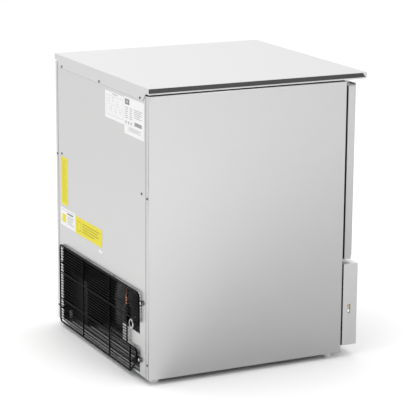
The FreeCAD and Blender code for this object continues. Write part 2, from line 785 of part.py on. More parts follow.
def make_liner(outer_x, low, high):
    """Five moulded panels, with coved strips where the sides meet the floor and the ceiling."""
    deep = (front + skin, bin_back)
    floor_panel = block("liner_floor", (-outer_x, outer_x), deep, (low, bin_floor))
    drain = rod("liner_drain", (0, drain_y, low - 1), "z", drain_bore, liner_wall + 2)
    panels = [
        cut("liner_floor_drained", floor_panel, drain),
        block("liner_ceiling", (-outer_x, outer_x), deep, (bin_ceiling, high)),
        block("liner_left", (-outer_x, -bin_half), deep, (bin_floor, bin_ceiling)),
        block("liner_right", (bin_half, outer_x), deep, (bin_floor, bin_ceiling)),
        block("liner_back", (-outer_x, outer_x), (bin_back, bin_back + liner_wall), (low, high)),
    ]
    reach = bin_back - front - skin
    for sign, suffix in ((-1, "left"), (1, "right")):
        centre_x = (bin_half - liner_cove) * sign
        for place_name, span, centre_z in (
            ("floor", (bin_floor, bin_floor + liner_cove), bin_floor + liner_cove),
            ("ceiling", (bin_ceiling - liner_cove, bin_ceiling), bin_ceiling - liner_cove),
        ):
            name = f"cove_{place_name}_{suffix}"
            strip = block(name, side_span(sign, bin_half - liner_cove, bin_half), deep, span)
            hollow = rod(
                name + "_hollow",
                (centre_x, front, centre_z),
                "y",
                liner_cove - cove_lip,
                reach + skin * 2,
            )
            panels.append(cut(name + "_strip", strip, hollow))
    node("inner_liner", group("inner_liner_panels", *panels))


drain_y = bin_back - drain_y_from_back


def make_base():
    pan_half = half - skin
    pan = new_body("BasePanBody")
    plan = sketch(
        pan,
        "PanPlan",
        "XY_Plane",
        foot_height,
        [rectangle((-pan_half, pan_half), (front + skin, shell_back))],
        [(x, y, foot_stem_radius + fit) for x, y in foot_points()],
    )
    pad(pan, "PanFloor", plan, skin)
    front_lip = sketch(
        pan,
        "PanFrontLip",
        "XZ_Plane",
        front + skin * 2,
        [rectangle((-pan_half, pan_half), (foot_height, foot_height + pan_lip))],
    )
    pad(pan, "PanFrontUpstand", front_lip, skin)
    rear_lip = sketch(
        pan,
        "PanRearLip",
        "XZ_Plane",
        shell_back,
        [rectangle((-(opening_right - 2), opening_left - 2), (foot_height, foot_height + pan_lip * 0.6))],
    )
    pad(pan, "PanRearUpstand", rear_lip, skin)
    low = floor_top
    start = shell_back - bead_pitch * (bead_count + 0.6)
    crest = bead_height * 0.9
    bead = [
        (start, low),
        (start + crest, low + bead_height),
        (start + crest * 2, low + bead_height),
        (start + crest * 3, low),
    ]
    bead_half = opening_right - 12
    profile = sketch(pan, "BeadProfile", "YZ_Plane", -bead_half, [bead])
    first = pad(pan, "Bead", profile, bead_half * 2)
    repeat(pan, "Beads", first, "Y_Axis", bead_pitch, bead_count)
    node("base_pan", pan)

    side_linings = [
        block(
            "lining_" + suffix,
            side_span(sign, half - skin - lining_thick, half - skin),
            (front + skin * 3, shell_back - 4),
            (floor_top + 2, room_top - 2),
        )
        for sign, suffix in ((-1, "left"), (1, "right"))
    ]
    side_linings = [
        bored(f"lining_drilled_{i}", lining, return_screw_points()) for i, lining in enumerate(side_linings)
    ]
    ceiling_lining = block(
        "lining_ceiling",
        (-(half - skin - lining_thick), half - skin - lining_thick),
        (front + 80, shell_back - 4),
        (room_top - lining_thick, room_top),
    )
    keep_clear = rod("lining_hole", (0, drain_y, room_top - lining_thick - 1), "z", drain_radius * 2, 20)
    ceiling_lining = cut("lining_ceiling_cut", ceiling_lining, keep_clear)
    return side_linings + [ceiling_lining]


def foot_points():
    xs = (-(half - foot_inset), half - foot_inset)
    ys = (front + foot_inset, rear_face - foot_inset)
    return [(x, y) for y in ys for x in xs]


def make_feet():
    names = ("front_left_foot", "front_right_foot", "rear_left_foot", "rear_right_foot")
    for name, (x, y) in zip(names, foot_points()):
        foot = new_body(name + "_body")
        pad_top = foot_height - fit
        collar = foot_top_radius * 0.93
        profile = [
            (0, 0),
            (foot_base_radius, 0),
            (foot_base_radius + 1, 1.2),
            (collar, pad_top - 4),
            (foot_top_radius, pad_top - 3),
            (foot_top_radius, pad_top),
            (foot_stem_radius, pad_top),
            (foot_stem_radius, pad_top + foot_stem),
            (0, pad_top + foot_stem),
        ]
        outline = sketch(foot, name + "_profile", "XZ_Plane", 0, [profile])
        revolve(foot, name + "_turned", outline)
        place(foot, x, y, 0)
        node(name, foot)


# ---------------------------------------------------------------- door
def channel_outline():
    """Plan of the handle end of the door round the finger channel, as a closed outline."""
    end = door_free + channel_reach
    return [
        (door_free, door_back),
        (door_free, door_back - flange_depth),
        (end, door_back - flange_depth),
        (end, door_front + lip_thick),
        (door_free + lip_setback, door_front + lip_thick),
        (door_free + lip_setback, door_front),
        (door_free + profile_width, door_front),
        (door_free + profile_width, door_back),
    ]


def make_handle_profile():
    end = door_free + channel_reach
    wall = profile_wall
    flange_front = door_back - flange_depth
    section = [
        (door_free, door_back),
        (door_free, flange_front),
        (end, flange_front),
        (end, door_front + lip_thick),
        (door_free + lip_setback, door_front + lip_thick),
        (door_free + lip_setback, door_front),
        (door_free + profile_width, door_front),
        (door_free + profile_width, door_front + skin),
        (end + wall * 2, door_front + skin),
        (end + wall, door_front + lip_thick + wall),
        (end + wall, flange_front + wall),
        (door_free + wall, flange_front + wall),
        (door_free + wall, door_back),
    ]
    profile = new_body("HandleProfileBody")
    plan = sketch(profile, "HandleSection", "XY_Plane", door_bottom + cap_thick, [section])
    pad(profile, "HandleExtrusion", plan, door_top - door_bottom - cap_thick * 2)
    round_edges(
        profile,
        "HandleOuterCorner",
        handle_round,
        lambda edge, middle: upright(edge) and near(middle, door_free, flange_front),
    )
    round_edges(
        profile,
        "ChannelCorners",
        channel_round,
        lambda edge, middle: upright(edge)
        and (near(middle, end, flange_front) or near(middle, end, door_front + lip_thick)),
    )
    round_edges(
        profile,
        "LipRound",
        lip_thick * 0.42,
        lambda edge, middle: upright(edge)
        and (
            near(middle, door_free + lip_setback, door_front)
            or near(middle, door_free + lip_setback, door_front + lip_thick)
        ),
    )
    node("handle_profile", profile)


def make_door():
    make_handle_profile()
    caps = []
    for suffix, z in (("lower", door_bottom), ("upper", door_top - cap_thick)):
        cap = new_body("EndCap_" + suffix)
        plan = sketch(cap, "CapPlan_" + suffix, "XY_Plane", z, [channel_outline()])
        pad(cap, "CapPlate_" + suffix, plan, cap_thick)
        caps.append(cap)
    node("door_end_caps", group("door_end_cap_pair", *caps))

    seam_x = door_free + profile_width
    tray = new_body("DoorSkinBody")
    plan = sketch(
        tray,
        "DoorPlan",
        "XY_Plane",
        door_bottom,
        [rectangle((seam_x, door_hinge), (door_front, door_back))],
    )
    pad(tray, "DoorBlock", plan, door_top - door_bottom)
    round_edges(
        tray,
        "DoorHingeEdge",
        door_round,
        lambda edge, middle: upright(edge) and near(middle, door_hinge, door_front),
    )
    doc.recompute()
    hollow = sketch(
        tray,
        "DoorHollow",
        "XZ_Plane",
        door_back,
        [rectangle((seam_x - 1, door_hinge - skin), (door_bottom + skin, door_top - skin))],
    )
    pocket(tray, "DoorHollowCut", hollow, door_thick - skin, flip=True)
    doc.recompute()
    bores = sketch(
        tray, "DoorBushHoles", "XY_Plane", door_top, circles=[(hinge_x, hinge_y, bush_radius)]
    )
    pocket(tray, "DoorBushCut", bores, door_top - door_bottom + 1)
    node("door_skin", tray)

    end = door_free + channel_reach
    flange_front = door_back - flange_depth
    liner_line = door_back - liner_wall
    inside = (door_bottom + cap_thick, door_top - cap_thick)
    parts = [
        block("core_main", (seam_x, door_hinge - skin), (door_front + skin, liner_line), inside),
        block("core_web", (end + profile_wall * 2, seam_x), (door_front + skin, liner_line), inside),
        block(
            "core_step",
            (end + profile_wall, end + profile_wall * 2),
            (flange_front + profile_wall, liner_line),
            inside,
        ),
        block(
            "core_flange",
            (door_free + profile_wall, end + profile_wall),
            (flange_front + profile_wall, liner_line),
            inside,
        ),
    ]
    sockets = [
        rod("core_socket_" + suffix, (hinge_x, hinge_y, z), "z", bush_radius, bush_length + 1)
        for suffix, z in (("upper", door_top - bush_length), ("lower", door_bottom - 1))
    ]
    recess = block(
        "core_recess",
        (door_free + liner_border, door_hinge - liner_border),
        (liner_line - liner_recess, liner_line + 1),
        (door_bottom + liner_border, door_top - liner_border),
    )
    node("door_insulation", cut("door_core", fuse("door_core_blocks", *parts), *sockets, recess))

    sheet_plate = block(
        "door_liner_sheet",
        (door_free + profile_wall, door_hinge - skin),
        (liner_line, door_back),
        (door_bottom + cap_thick, door_top - cap_thick),
    )
    dish = block(
        "door_liner_dish",
        (door_free + liner_border, door_hinge - liner_border),
        (liner_line - liner_recess, liner_line),
        (door_bottom + liner_border, door_top - liner_border),
    )
    well = block(
        "door_liner_well",
        (door_free + liner_border + liner_wall, door_hinge - liner_border - liner_wall),
        (liner_line - liner_recess + liner_wall, door_back + 1),
        (door_bottom + liner_border + liner_wall, door_top - liner_border - liner_wall),
    )
    node("door_liner", cut("door_liner_formed", fuse("door_liner_blank", sheet_plate, dish), well))

    def gasket_block(name, inset):
        return block(
            name,
            (door_free + gasket_inset + inset, door_hinge - gasket_hinge_inset - inset),
            (door_back, front - fit),
            (door_bottom + gasket_inset + inset, door_top - gasket_inset - inset),
        )

    outer, inner = gasket_block("gasket_outer", 0), gasket_block("gasket_inner", gasket_width)
    ring = cut("door_gasket_ring", outer, inner)
    node("door_gasket", ring)

    bushes = []
    for suffix, z in (("upper", door_top - bush_length), ("lower", door_bottom)):
        sleeve = rod("bush_" + suffix, (hinge_x, hinge_y, z), "z", bush_radius, bush_length)
        hole = rod("bush_hole_" + suffix, (hinge_x, hinge_y, z - 1), "z", pin_radius + run, bush_length + 2)
        bushes.append(cut("hinge_bush_" + suffix, sleeve, hole))
    node("hinge_bushes", group("hinge_bush_pair", *bushes))


def make_hinges():
    """Plates fixed to the cabinet front, each with a pin in the door's bush."""
    pin_reach = bush_length - 2
    upper_plate = door_top + hinge_gap
    lower_plate = door_bottom - hinge_gap - hinge_plate
    for label, plate_z, pin in (
        ("upper_hinge", upper_plate, (door_top - pin_reach, upper_plate)),
        ("lower_hinge", lower_plate, (lower_plate, door_bottom + pin_reach)),
    ):
        arm = block(
            label + "_arm",
            (hinge_x - hinge_arm, hinge_x + pin_radius * 2),
            (hinge_y - pin_radius * 2, front),
            (plate_z, plate_z + hinge_plate),
        )
        axle = rod(label + "_pin", (hinge_x, hinge_y, pin[0]), "z", pin_radius, pin[1] - pin[0])
        boss_height = hinge_plate + hinge_gap / 2
        boss = rod(label + "_boss", (hinge_x, hinge_y, plate_z), "z", pin_radius * 1.6, boss_height)
        node(label, fuse(label + "_solid", arm, axle, boss))


# ---------------------------------------------------------------- lower front panel
def make_lower_panel():
    panel = new_body("LowerPanelBody")
    plan = sketch(
        panel,
        "LowerOutline",
        "XZ_Plane",
        lower_back,
        [rectangle((-half, half), (lower_bottom, lower_top))],
    )
    pad(panel, "LowerBlock", plan, lower_depth)

    def front_edge(edge, middle):
        box = edge.BoundBox
        return box.YLength < 0.01 and abs(middle.y - value_of(lower_front)) < 0.5

    round_edges(panel, "LowerRound", lower_round, front_edge)
    doc.recompute()
    inside = sketch(
        panel,
        "LowerInside",
        "XZ_Plane",
        lower_back,
        [rectangle((-(half - skin), half - skin), (lower_bottom + skin, lower_top - skin))],
    )
    pocket(panel, "LowerHollow", inside, lower_depth - skin, flip=True)
    doc.recompute()
    windows = sketch(
        panel,
        "PanelWindows",
        "XZ_Plane",
        lower_front + lower_depth / 2,
        [
            rectangle(
                (bezel_centre_x - bezel_length / 2 + 3, bezel_centre_x + bezel_length / 2 - 3),
                (bezel_centre_z - bezel_height / 2 + 3, bezel_centre_z + bezel_height / 2 - 3),
            ),
            rectangle(*grille_field(0)),
        ],
    )
    pocket(panel, "PanelOpenings", windows, lower_depth, flip=True)
    doc.recompute()
    slot_y = lower_back - peek_setback
    half_slot = peek_width / 2
    peep = sketch(
        panel,
        "PeepOutline",
        "YZ_Plane",
        -half - 1,
        [
            rectangle(
                (slot_y - half_slot, slot_y + half_slot),
                (peek_z - peek_height / 2, peek_z + peek_height / 2),
            )
        ],
    )
    pocket(panel, "Peeps", peep, half * 2 + 2, flip=True)
    node("lower_front_panel", panel)
    make_louvre_grille()

    brackets, screws, bushes = [], [], []
    for sign, suffix in ((-1, "left"), (1, "right")):
        inner = half - skin - bracket_gap - bracket_thick
        web = block(
            "bracket_web_" + suffix,
            side_span(sign, inner, inner + bracket_thick),
            (lower_front + lower_depth * 0.3, front - bracket_thick),
            (peek_z - bracket_half, peek_z + bracket_half),
        )
        ear = block(
            "bracket_ear_" + suffix,
            side_span(sign, inner - 18, inner + bracket_thick),
            (front - bracket_thick, front),
            (peek_z - bracket_half, peek_z + bracket_half),
        )
        brackets.append(fuse("panel_bracket_" + suffix, web, ear))
        face = inner + bracket_thick
        head_x = face if sign > 0 else -face - 1.2
        screws.append(
            rod("brass_screw_" + suffix, (head_x, slot_y, peek_z + peek_height * 0.24), "x", 3.4, 1.2)
        )
        bushes.append(
            rod("nylon_bush_" + suffix, (head_x, slot_y, peek_z - peek_height * 0.26), "x", 3.8, 1.2)
        )
    node("panel_brackets", group("panel_bracket_pair", *brackets))
    node("brass_screws", group("brass_screw_pair", *screws))
    node("nylon_bushes", group("nylon_bush_pair", *bushes))


def grille_field(grow):
    """Limits along X and Z of the louvre field, grown on every side."""
    across = (slot_length + slot_gap) * 1.5 - grille_border + grow
    top = slot_first + slot_pitch * (slot_rows - 1) + slot_height + grille_border + grow
    return (-across, across), (slot_first - grille_border - grow, top)


def make_louvre_grille():
    """A slotted plate that fills the lower panel's window and is held behind its edges."""
    seat = lower_front + skin
    grille = new_body("LouvreGrilleBody")
    flange = sketch(
        grille, "GrilleFlange", "XZ_Plane", seat + grille_thick, [rectangle(*grille_field(grille_border))]
    )
    pad(grille, "GrillePlate", flange, grille_thick)
    field = sketch(grille, "GrilleField", "XZ_Plane", seat, [rectangle(*grille_field(-fit))])
    pad(grille, "GrilleRaised", field, skin)
    doc.recompute()
    step = slot_length + slot_gap
    rows = [
        rectangle(
            (step * (i - 1.5) + slot_gap / 2, step * (i - 1.5) + slot_gap / 2 + slot_length),
            (slot_first, slot_first + slot_height),
        )
        for i in range(3)
    ]
    slots = sketch(grille, "SlotOutline", "XZ_Plane", seat + grille_thick, rows)
    first = pocket(grille, "Slots", slots, skin + grille_thick, flip=True)
    first.Type = "ThroughAll"
    first.Midplane = True
    doc.recompute()
    repeat(grille, "SlotRows", first, "Z_Axis", slot_pitch, slot_rows)
    node("louvre_grille", grille)


bezel_face = lower_front - 2
rocker_x = bezel_centre_x - 38
button_x = bezel_centre_x
trunnion_radius = 1.5
rocker_swing = 12  # degrees from one side pressed to the other


def make_controls():
    low_x, high_x = bezel_centre_x - bezel_length / 2, bezel_centre_x + bezel_length / 2
    low_z, high_z = bezel_centre_z - bezel_height / 2, bezel_centre_z + bezel_height / 2
    body_back = lower_front + 26
    bezel = new_body("BezelBody")
    rim = sketch(bezel, "BezelRim", "XZ_Plane", lower_front, [rectangle((low_x, high_x), (low_z, high_z))])
    pad(bezel, "BezelPlate", rim, 2)
    neck = sketch(
        bezel,
        "BezelNeck",
        "XZ_Plane",
        body_back,
        [rectangle((low_x + 3.2, high_x - 3.2), (low_z + 3.2, high_z - 3.2))],
    )
    pad(bezel, "BezelBox", neck, body_back - lower_front)
    doc.recompute()
    rocker_half, rocker_rise = rocker_length / 2 + fit, rocker_height / 2 + fit
    window = sketch(
        bezel,
        "RockerWindow",
        "XZ_Plane",
        body_back - 2,
        [
            rectangle(
                (rocker_x - rocker_half, rocker_x + rocker_half),
                (bezel_centre_z - rocker_rise, bezel_centre_z + rocker_rise),
            )
        ],
        [(button_x, bezel_centre_z, button_radius + fit)],
    )
    pocket(bezel, "RockerWell", window, body_back - 1 - bezel_face, flip=True)
    doc.recompute()
    lamps = sketch(
        bezel,
        "LampHoles",
        "XZ_Plane",
        body_back - 10,
        circles=[(x, bezel_centre_z, lamp_radius) for x in lamp_points()],
    )
    pocket(bezel, "LampWells", lamps, body_back - 9 - bezel_face, flip=True)
    doc.recompute()
    pivots = sketch(
        bezel,
        "RockerPivots",
        "XY_Plane",
        bezel_centre_z - rocker_rise - 1.5,
        circles=[(rocker_x, bezel_face + rocker_depth, trunnion_radius + run)],
    )
    pocket(bezel, "RockerPivotHoles", pivots, rocker_rise * 2 + 3, flip=True)
    node("control_bezel", bezel)

    rocker = new_body("RockerBody")
    face_half = rocker_length / 2 - rocker_play
    section = [
        (-face_half, -rocker_depth - 1.4),
        (0, -rocker_depth - 0.4),
        (face_half, -rocker_depth - 1.4),
        (face_half - 1, 0),
        (-face_half + 1, 0),
    ]
    low = -rocker_height / 2
    pad(rocker, "RockerPaddle", sketch(rocker, "RockerSection", "XY_Plane", low, [section]), rocker_height)
    axle = sketch(rocker, "RockerAxle", "XY_Plane", low - 1.4, circles=[(0, 0, trunnion_radius)])
    pad(rocker, "RockerTrunnions", axle, rocker_height + 2.8)
    rocker.Placement = Placement(Vector(), Rotation(Vector(0, 0, 1), rocker_swing / 2))
    place(rocker, rocker_x, bezel_face + rocker_depth, bezel_centre_z)
    node("rocker_switch", rocker)

    button = new_body("ButtonBody")
    outline = [
        (0, 0),
        (button_radius, 0),
        (button_radius, 15),
        (button_radius - 1, 16.5),
        (0, 17),
    ]
    profile = sketch(button, "ButtonProfile", "XZ_Plane", 0, [outline])
    revolve(button, "ButtonTurned", profile)
    button.Placement = Placement(Vector(), Rotation(Vector(1, 0, 0), 90))
    place(button, button_x, bezel_face + 13, bezel_centre_z)
    node("clean_button", button)

    domes = [
        fuse(
            f"lamp_{i}",
            rod(f"lamp_barrel_{i}", (x, bezel_face - 1, bezel_centre_z), "y", lamp_radius, 12),
            taper(f"lamp_tip_{i}", (x, bezel_face - 2.2, bezel_centre_z), "y", 1.6, lamp_radius, 1.2),
        )
        for i, x in enumerate(lamp_points())
    ]
    node("indicator_lamps", group("indicator_lamp_set", *domes))


def lamp_points():
    return [bezel_centre_x + 24 + 12 * i for i in range(3)]


# ---------------------------------------------------------------- rear guard and connections
def make_guard():
    """Welded rods: a rounded outline with a notch round the water inlet, and cross rods."""
    radius = guard_rod / 2
    bend = guard_bend

    def path(name, *points):
        return pipe(name, [(x, guard_y, z) for x, z in points], radius, bend)

    corner = guard_bend * 2
    far = guard_left - corner
    top_right = -guard_right
    notch = -guard_notch
    foot = -guard_foot
    cut_x, cut_top = foot + guard_cut, guard_bottom + guard_cut
    cut_middle, cut_middle_z = foot + guard_cut / 2, guard_bottom + guard_cut / 2
    low_start = cut_x + corner
    # The outline is laid as straight rods between short bent corners, all welded end to end.
    pieces = [
        path(
            "guard_corner_a",
            (far, guard_top),
            (guard_left, guard_top),
            (guard_left, guard_top - corner),
        ),
        path(
            "guard_corner_b",
            (guard_left, guard_bottom + corner),
            (guard_left, guard_bottom),
            (far, guard_bottom),
        ),
        path(
            "guard_corner_c",
            (top_right + corner, guard_top),
            (top_right, guard_top),
            (top_right, guard_top - corner),
        ),
        path(
            "guard_corner_d",
            (notch, guard_lower),
            (foot, guard_lower),
            (foot, guard_lower - corner),
        ),
        path("guard_corner_e", (foot, guard_lower - corner), (foot, cut_top), (cut_middle, cut_middle_z)),
        path("guard_corner_f", (cut_middle, cut_middle_z), (cut_x, guard_bottom), (low_start, guard_bottom)),
    ]
    across = guard_left - top_right - corner * 2
    pieces.append(rod("guard_top_rod", (top_right + corner, guard_y, guard_top), "x", radius, across))
    along_foot = guard_left - corner - low_start
    pieces.append(
        rod("guard_bottom_rod", (low_start, guard_y, guard_bottom), "x", radius, along_foot)
    )
    tall = guard_top - guard_bottom - corner * 2
    pieces.append(rod("guard_left_rod", (guard_left, guard_y, guard_bottom + corner), "z", radius, tall))
    right_tall = guard_top - corner - guard_upper + radius
    pieces.append(
        rod("guard_right_rod", (top_right, guard_y, guard_upper - radius), "z", radius, right_tall)
    )
    for name, x in (("first", guard_first), ("second", -guard_second)):
        pieces.append(
            rod(
                "guard_upright_" + name,
                (x, guard_y, guard_bottom + radius),
                "z",
                radius * 0.8,
                guard_top - guard_bottom - radius * 2,
            )
        )
    notch_tall = guard_upper - guard_lower - radius * 2
    pieces.append(
        rod("guard_upright_notch", (notch, guard_y, guard_lower + radius), "z", radius * 0.8, notch_tall)
    )
    spans = (
        ("upper_a", guard_upper, guard_left - radius, guard_first + radius * 0.8),
        ("upper_b", guard_upper, guard_first - radius * 0.8, -guard_second + radius * 0.8),
        ("upper_c", guard_upper, -guard_second - radius * 0.8, top_right + radius),
        ("lower_a", guard_lower, guard_left - radius, guard_first + radius * 0.8),
        ("lower_b", guard_lower, guard_first - radius * 0.8, -guard_second + radius * 0.8),
        ("lower_c", guard_lower, -guard_second - radius * 0.8, notch),
    )
    for name, z, left, right in spans:
        pieces.append(rod("guard_cross_" + name, (right, guard_y, z), "x", radius * 0.8, left - right))
    for i, (x, z) in enumerate(guard_screw_points()):
        tab_back = guard_y - guard_rod / 2
        ring = rod(f"guard_eye_disc_{i}", (x, tab_back, z), "y", eye_radius, 2)
        hole = rod(f"guard_eye_hole_{i}", (x, tab_back - 1, z), "y", eye_hole, 4)
        bridge = block(
            f"guard_eye_bridge_{i}",
            (x + eye_radius * 0.6, x + eye_offset - radius * 0.6),
            (tab_back, tab_back + 2),
            (z - 4, z + 4),
        )
        pieces.append(cut(f"guard_eye_{i}", fuse(f"guard_eye_blank_{i}", ring, bridge), hole))
    pieces += fine_guard_wires(radius)
    hook_x, hook_y = opening_left - guard_hook_inset, shell_back - radius
    for i, z in enumerate((guard_upper + guard_hook_lift, guard_lower - guard_hook_lift)):
        pieces.append(
            pipe(
                f"guard_hook_{i}",
                [
                    (guard_left - radius, guard_y, z),
                    (hook_x, guard_y, z),
                    (hook_x, hook_y, z),
                    (hook_x + guard_hook_reach, hook_y, z),
                ],
                radius,
                radius * 1.2,
            )
        )
    node("rear_guard", group("rear_guard_rods", *pieces))


def fine_guard_wires(radius):
    """Level wires welded behind the uprights, each from the far rod to the outline's near side."""
    drain_side = guard_drain - drain_x
    pieces = [
        rod(
            "guard_upright_drain",
            (drain_side, guard_y, guard_bottom + radius),
            "z",
            radius * 0.8,
            guard_lower - guard_bottom - radius * 2,
        )
    ]
    wire_y = guard_y - radius * 0.8 - wire_radius
    start = guard_left - radius * 0.6
    rows = int(round((value_of(guard_top) - value_of(guard_bottom)) / wire_pitch.value))
    for i in range(1, rows):
        z = guard_bottom + wire_pitch * i
        level = value_of(z)
        if min(abs(level - guard_upper.value), abs(level - guard_lower.value)) < wire_pitch.value / 2:
            continue
        if level > guard_upper.value:
            end = radius * 0.6 - guard_right
        elif level > guard_lower.value:
            end = -guard_notch - radius * 0.6
        elif level > guard_lower.value - wire_pitch.value * 3.5:
            end = radius * 0.6 - guard_foot
        else:
            end = drain_side - radius * 0.6
        pieces.append(rod(f"guard_wire_{i}", (end, wire_y, z), "x", wire_radius, start - end))
    return pieces


def make_fasteners():
    screws = []
    for i, (x, z) in enumerate(apron_screw_points()):
        screws.append(screw(f"apron_screw_{i}", x, back, z, 1))
    for i, (x, z) in enumerate(rear_screw_points() + return_screw_points()):
        screws.append(screw(f"panel_screw_{i}", x, rear_face, z, 1))
    tab_face = guard_y - guard_rod / 2 + 2
    for i, (x, z) in enumerate(guard_screw_points()):
        wide_head = (eye_radius * 0.62, screw_head_height)
        screws.append(screw(f"guard_screw_{i}", x, tab_face, z, 1, head=wide_head))
    node("panel_screws", group("panel_screw_set", *screws))


def make_connections():
    shelf_top = plate_top
    upright_plate = block(
        "connection_upright",
        (-(opening_right + 8), -plate_reach),
        (shell_back - skin * 1.5, shell_back),
        (plate_bottom, shelf_top),
    )
    shelf = block(
        "connection_shelf",
        (-(opening_right + 8), -plate_reach),
        (shell_back - shelf_depth, shell_back),
        (shelf_top - skin * 1.5, shelf_top),
    )
    node("connection_plate", fuse("connection_plate_sheet", upright_plate, shelf))

    x, z = -inlet_x, inlet_z
    body_front = shell_back - 6
    flange = rod("inlet_flange", (x, body_front - 4, z), "y", inlet_radius + 4, 4)
    stub = rod("inlet_stub_tube", (x, body_front, z), "y", inlet_radius, inlet_stub)
    collar = rod("inlet_collar", (x, body_front + inlet_stub, z), "y", inlet_radius - 0.8, 2)
    valve_back, coil_back = body_front - 34, body_front - 62
    valve = block(
        "inlet_valve_body", (x - 15, x + 15), (valve_back, body_front - 4), (shelf_top, z + 14)
    )
    coil = block(
        "inlet_valve_coil", (x - 13, x + 13), (coil_back, valve_back), (shelf_top + 2, z + 22)
    )
    tail = rod("inlet_tail", (x + 15, body_front - 20, z + 2), "x", drain_bore * 0.7, 18)
    bore = rod("inlet_bore_tool", (x, body_front - 12, z), "y", inlet_bore, inlet_stub + 20)
    body = fuse("inlet_valve_solid", flange, stub, collar, valve, coil, tail)
    node("water_inlet_valve", cut("inlet_valve_bored", body, bore))

    gland_x, gland_z = -(opening_right - gland_inset), shelf_top + gland_lift
    gland_back = shell_back - 25
    saddle = block(
        "gland_saddle",
        (gland_x - gland_radius, gland_x + gland_radius),
        (gland_back + 1, gland_back + 13),
        (shelf_top, gland_z),
    )
    nut = rod("gland_nut", (gland_x, gland_back, gland_z), "y", gland_radius, 14)
    barrel = taper("gland_barrel", (gland_x, gland_back + 14, gland_z), "y", gland_radius - 1, 6, 9)
    hole = rod("gland_hole", (gland_x, gland_back - 1, gland_z), "y", lead_radius, 26)
    node("cable_gland", cut("cable_gland_bored", fuse("cable_gland_blank", saddle, nut, barrel), hole))

    dx, dz = -drain_x, drain_z
    spigot = rod("drain_spigot", (dx, shell_back - 30, dz), "y", drain_radius, 38)
    ring = rod("drain_ring", (dx, shell_back - 8, dz), "y", drain_radius + 4, 5)
    block_body = block(
        "drain_block",
        (dx - 13, dx + 13),
        (shell_back - 44, shell_back - 18),
        (floor_top + bead_height, dz + 13),
    )
    drain_hole = rod("drain_hole_tool", (dx, shell_back - 36, dz), "y", drain_bore, 44)
    outlet = fuse("drain_outlet_solid", spigot, ring, block_body)
    node("drain_outlet", cut("drain_outlet_bored", outlet, drain_hole))

    hose = pipe(
        "drain_hose_tube",
        [
            (0, drain_y, bin_floor - liner_wall),
            (0, drain_y, room_top - 44),
            (dx, drain_y - 2, room_top - 80),
            (dx, drain_y - 2, dz),
            (dx, shell_back - 44, dz),
        ],
        drain_bore,
        18,
    )
    return hose


# ---------------------------------------------------------------- refrigeration
def make_compressor():
    x, y = compressor_x, rear_face - compressor_back
    base = floor_top + grommet_height
    shell = new_body("CompressorBody")
    r, tall = shell_radius, shell_height
    profile = [
        (0, 0),
        (r * 0.62, 0),
        (r * 0.86, tall * 0.05),
        (r * 0.97, tall * 0.14),
        (r * 0.97, tall * 0.52),
        (r, tall * 0.53),
        (r, tall * 0.57),
        (r * 0.97, tall * 0.58),
        (r * 0.95, tall * 0.74),
        (r * 0.84, tall * 0.88),
        (r * 0.6, tall * 0.97),
        (0, tall),
    ]
    outline = sketch(shell, "ShellProfile", "XZ_Plane", 0, [profile])
    revolve(shell, "ShellTurned", outline)
    place(shell, x, y, base + 4)
    plate = block("compressor_plate", (x - r - 10, x + r + 10), (y - 52, y + 52), (base, base + 3))
    neck = rod("compressor_neck", (x, y, base + 2.5), "z", r * 0.6, 6)
    holes = [
        rod(f"compressor_hole_{i}", (px, py, base - 1), "z", 5 + 0.2, 6)
        for i, (px, py) in enumerate(grommet_points())
    ]
    stub_foot = (x - r * 0.5, y + r * 0.3, base + tall * 0.78)
    stub = rod("compressor_stub", stub_foot, "z", copper_radius + 1.2, tall * 0.22 + 14)
    port = (x - r * 0.94 - 14, y, base + tall * 0.36)
    suction = rod("compressor_suction", port, "x", copper_radius + 2, 20)
    drilled = cut("compressor_plate_drilled", plate, *holes)
    node("compressor", fuse("compressor_solid", shell, drilled, neck, stub, suction))

    grommets = []
    for i, (px, py) in enumerate(grommet_points()):
        lower = rod(f"grommet_low_{i}", (px, py, floor_top), "z", 9, grommet_height)
        upper = rod(f"grommet_up_{i}", (px, py, floor_top + grommet_height), "z", 5, 7)
        grommets.append(fuse(f"grommet_{i}", lower, upper))
    node("compressor_grommets", group("grommet_set", *grommets))

    box_x = x + r * 0.97
    cover = block("terminal_block", (box_x, box_x + 34), (y - 28, y + 28), (base + 62, base + 128))
    lip = block("terminal_lip", (box_x, box_x + 4), (y - 32, y + 32), (base + 58, base + 132))
    keep = rod("terminal_relief", (x, y, base), "z", r, tall)
    node("terminal_cover", cut("terminal_cover_fitted", fuse("terminal_blank", cover, lip), keep))


def grommet_points():
    x, y = compressor_x, rear_face - compressor_back
    return [(x + sx * (shell_radius - 2), y + sy * 40) for sx in (-1, 1) for sy in (-1, 1)]


